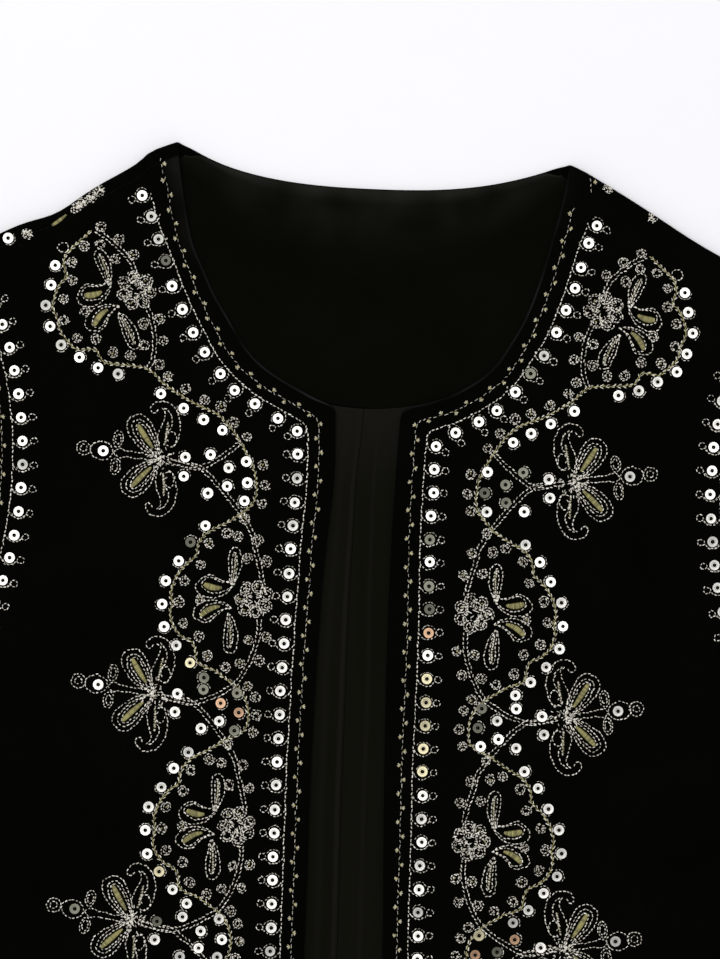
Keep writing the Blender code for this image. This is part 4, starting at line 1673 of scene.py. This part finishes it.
def frames_on(tree, rows, side, lift):
    """Where each row's ray lands: its place, and the directions along, across and out of the cloth."""
    kept, places, frames = [], [], []
    for k, (out, level, turn) in enumerate(rows[:, :3]):
        hit, normal, _, _ = tree.ray_cast(laid(Vector((out, level)) * MM, side, ABOVE), Vector((0, 0, -1)))
        if hit is None or hit.z < LOWEST or normal.z < STEEPEST:
            continue
        along = Vector((side * math.cos(turn), math.sin(turn), 0))
        along = (along - normal * along.dot(normal)).normalized()
        kept.append(k)
        places.append(hit + normal * lift)
        frames.append((along, normal.cross(along), normal))
    return np.array(kept, int), np.array(places), np.array(frames)


def joined(name, template, places, frames, sizes, tints, material):
    """Copies of a template, each with its own place, directions and sizes, as one mesh."""
    points, faces = template
    copies = len(places)
    local = points[None] * sizes[:, None]
    world = np.einsum("nij,njk->nik", local, frames) + places[:, None]
    data = bpy.data.meshes.new(name)
    data.vertices.add(copies * len(points))
    data.vertices.foreach_set("co", world.astype(np.float32).ravel())
    corners = (faces[None] + len(points) * np.arange(copies)[:, None, None]).reshape(-1, 3)
    data.loops.add(corners.size)
    data.loops.foreach_set("vertex_index", corners.astype(np.int32).ravel())
    data.polygons.add(len(corners))
    data.polygons.foreach_set("loop_start", np.arange(0, corners.size, 3, dtype=np.int32))
    tint = data.attributes.new("tint", "FLOAT", "POINT")
    tint.data.foreach_set("value", np.repeat(tints, len(points)).astype(np.float32))
    strand = data.attributes.new("strand", "FLOAT_VECTOR", "POINT")
    strand.data.foreach_set("vector", (local / MM).astype(np.float32).ravel())
    data.update(calc_edges=True)
    data.validate()
    data.shade_smooth()
    if template is SEQUIN:
        data.set_sharp_from_angle(angle=RIM_ANGLE)
    data.materials.append(material)
    obj = bpy.data.objects.new(name, data)
    bpy.context.scene.collection.objects.link(obj)
    print(name, "copies:", copies, "triangles:", len(corners))
    return obj


def lay(name, work, kind, tree, side, material):
    """One kind of a front's rows as one mesh on the cloth."""
    rows = np.concatenate(work.rows[kind])
    kept, places, frames = frames_on(tree, rows, side, LIFTS[kind])
    rows = rows[kept]
    if kind == "sequin":
        tilt = work.dice.normal(0, SEQUIN_TILT, (len(rows), 2))
        frames[:, 0] += tilt[:, :1] * frames[:, 2]
        frames[:, 1] += tilt[:, 1:] * frames[:, 2]
        frames[:, 2] = np.cross(frames[:, 0], frames[:, 1])
        sizes = np.repeat(rows[:, 3:4], 3, 1) * MM
        return joined(name, SEQUIN, places, frames, sizes, rows[:, 5], material)
    sizes = np.stack([rows[:, 3], rows[:, 4], STITCH_FLATNESS * rows[:, 4]], 1) * MM
    return joined(name, STITCH, places, frames, sizes, rows[:, 5], material)


# %% [markdown]
# The pale metallic thread is a fine foil strip wound on a core: it is bright, a little glossy, and its
# tone differs from stitch to stitch, from a dark tone to a bright one; that spread is partly the thread's
# own and partly painted glints, which the metal catches on some stitches and not on others. The silk is
# a duller olive. Both get a fine diagonal twist from a wave on each stitch's own coordinates, so that it
# turns with the stitch; the wave bumps the strand and also paints a little of the twist's highlight into
# its colour.

# %% Thread
TWIST_SCALE = 1.5
TWIST_HEIGHT = 0.0001


def thread(name, dull, bright, metallic, roughness):
    """Thread between two tones, which a stitch's tint picks."""
    finish = Finish(name, {"Specular IOR Level": 0.5})
    tint, strand = finish.attribute("tint"), finish.attribute("strand", "Vector")
    sockets = {"Vector": strand, "Scale": TWIST_SCALE}
    twist = finish.node("ShaderNodeTexWave", {"bands_direction": "DIAGONAL"}, sockets, output="Fac")
    # the tint spreads each stitch from the dark tone to the bright one, on the metal thread partly as
    # painted glints, and the twist wave paints a little highlight in
    finish.feed("Base Color", finish.blend(tint * 0.8 + twist * 0.1 + 0.1, dull, bright))
    finish.feed("Metallic", metallic + 0.1 * tint)
    finish.feed("Roughness", roughness - 0.1 * tint)
    finish.relief(twist, 0.5, TWIST_HEIGHT)
    return finish.material


GILT = thread("pale_metal_thread", (0.20, 0.178, 0.125, 1), (0.98, 0.945, 0.845, 1), 0.15, 0.46)
SILK = thread("olive_silk_thread", (0.09, 0.08, 0.035, 1), (0.375, 0.345, 0.125, 1), 0.05, 0.50)
print("threads:", GILT.name, SILK.name)

# %% [markdown]
# The sequins are thin silvery discs, so smooth that each mirrors the light above. A sequin's tint picks
# its tone: white up to the first step, and then another tone at each. The stamped crease round the hole
# is shaded a little darker, by its distance from the middle.

# %% Sequins
SEQUIN_WHITES = ((0.455, 0.447, 0.414, 1), (0.52, 0.511, 0.474, 1))
FILM_SCALE = 260
FILM_HEIGHT = 0.0002
SEQUIN_TONES = (
    # least tint, colour; the grey and near-black tones are painted reflections, the pale gold and copper
    # partly so
    (0.70, (0.235, 0.235, 0.215, 1)),
    (0.85, (0.330, 0.300, 0.190, 1)),
    (0.875, (0.095, 0.095, 0.072, 1)),
    (0.93, (0.045, 0.045, 0.033, 1)),
    (0.965, (0.285, 0.175, 0.105, 1)),
)
CREASE_AT = 1.24
CREASE_HALF = 0.13
CREASE_SHADE = (0.05, 0.05, 0.05, 1)


def sequin_finish():
    """Silvery film, whose tint attribute picks its tone."""
    finish = Finish("silver_sequin", {"Specular IOR Level": 0.5})
    tint, strand = finish.attribute("tint"), finish.attribute("strand", "Vector")
    reach = finish.node("ShaderNodeVectorMath", {"operation": "LENGTH"}, {0: strand}, output="Value")
    film = finish.noise(finish.place(), FILM_SCALE)
    tone = finish.blend(film, *SEQUIN_WHITES)
    # the other tones: grey and near-black ones are painted reflections, pale gold and copper partly so
    for least, colour in SEQUIN_TONES:
        tone = finish.blend(tint > least, tone, colour)
    creased = (reach - CREASE_AT).size() < CREASE_HALF
    finish.feed("Base Color", finish.blend(creased * 0.5, tone, CREASE_SHADE))
    finish.feed("Metallic", 0.75 + 0.1 * film)
    finish.feed("Roughness", 0.24 + 0.12 * film)
    finish.relief(film, 0.15, FILM_HEIGHT)
    return finish.material


SEQUINS = sequin_finish()
FINISHES = {"gilt": (GILT, "metal_thread"), "silk": (SILK, "silk_thread"), "sequin": (SEQUINS, "sequin")}
print("nodes in the sequins' finish:", len(SEQUINS.node_tree.nodes))

# %% [markdown]
# Now the fronts are embroidered: three joined pieces on each, one for every kind of thread and one for
# the sequins.

# %% Embroider the fronts
needlework = {}
for side, word in SIDES.items():
    tree = surface(front_cloths[side], back)
    needlework[side] = []
    for kind, (material, slot) in FINISHES.items():
        piece = lay(f"{kind}_{word}", works[side], kind, tree, side, material)
        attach(piece, "root")
        needlework[side].append(piece)

# %% [markdown]
# Every cloth now takes the place of its solid, which is hidden, and rides on the vest's one body.

CUTS = (
    # cloth, node, slot, flat width and length, flat area, what it lies on
    (back, "back", "velvet", (0.482, 0.516), 0.208, ()),
    (facing, "back_facing", "facing_velvet", (0.192, 0.115), 0.0149, ("back",)),
    (linings[-1], "lining_left", "lining", (0.233, 0.488), 0.0912, ("back",)),
    (linings[1], "lining_right", "lining", (0.233, 0.488), 0.0912, ("back",)),
    (front_cloths[-1], "front_left", "velvet", (0.222, 0.512), 0.0890, ("lining_left",)),
    (front_cloths[1], "front_right", "velvet", (0.226, 0.512), 0.0906, ("lining_right",)),
)
for cloth, node, slot, flat, area, below in CUTS:
    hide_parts(node)
    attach(cloth, "root")
    side = {"front_left": -1, "front_right": 1}.get(node)
    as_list(below)
print("cloths declared:", len(CUTS))

# %% [markdown]
# The setting is plain: a pale floor just below the vest, an even pale surround, and one large soft light
# high above. The light is what the sequins mirror. The picture's tones are shown as they are, so that
# white stays white and the velvet stays black.

# %% Floor and light
FLOOR_SIZE = 30.0
FLOOR_TONES = ((0.757, 0.752, 0.772, 1), (0.767, 0.762, 0.782, 1))
SPECKLE_SCALE = 40
LIGHT_SIZE = 2.4
LIGHT_PLACE = (-0.5, 0.7, 2.6)
LIGHT_POWER = 62.0
SURROUND = (0.985, 0.975, 1.0, 1)
SURROUND_STRENGTH = 0.62

ground = bmesh.new()
bmesh.ops.create_grid(ground, x_segments=1, y_segments=1, size=FLOOR_SIZE / 2)
floor = finished("floor", ground)
pale = Finish("pale_floor", {"Specular IOR Level": 0.1})
speckle = pale.noise(pale.place(), SPECKLE_SCALE)
pale.feed("Base Color", pale.blend(speckle, *FLOOR_TONES))
pale.feed("Roughness", 0.75 + 0.1 * speckle)
floor.data.materials.append(pale.material)

lamp = bpy.data.lights.new("soft_light", "AREA")
lamp.size = LIGHT_SIZE
lamp.energy = LIGHT_POWER
light = bpy.data.objects.new("soft_light", lamp)
light.location = LIGHT_PLACE
light.rotation_euler = (Vector(LIGHT_PLACE) - PICTURE_CENTRE).to_track_quat("Z", "Y").to_euler()
light.visible_camera = False
bpy.context.scene.collection.objects.link(light)

world = bpy.data.worlds.new("surround")
world.use_nodes = True
background = world.node_tree.nodes["Background"]
background.inputs["Color"].default_value = SURROUND
background.inputs["Strength"].default_value = SURROUND_STRENGTH
bpy.context.scene.world = world
bpy.context.scene.view_settings.view_transform = "Standard"
print("lamp's height above the floor in m:", light.location.z)
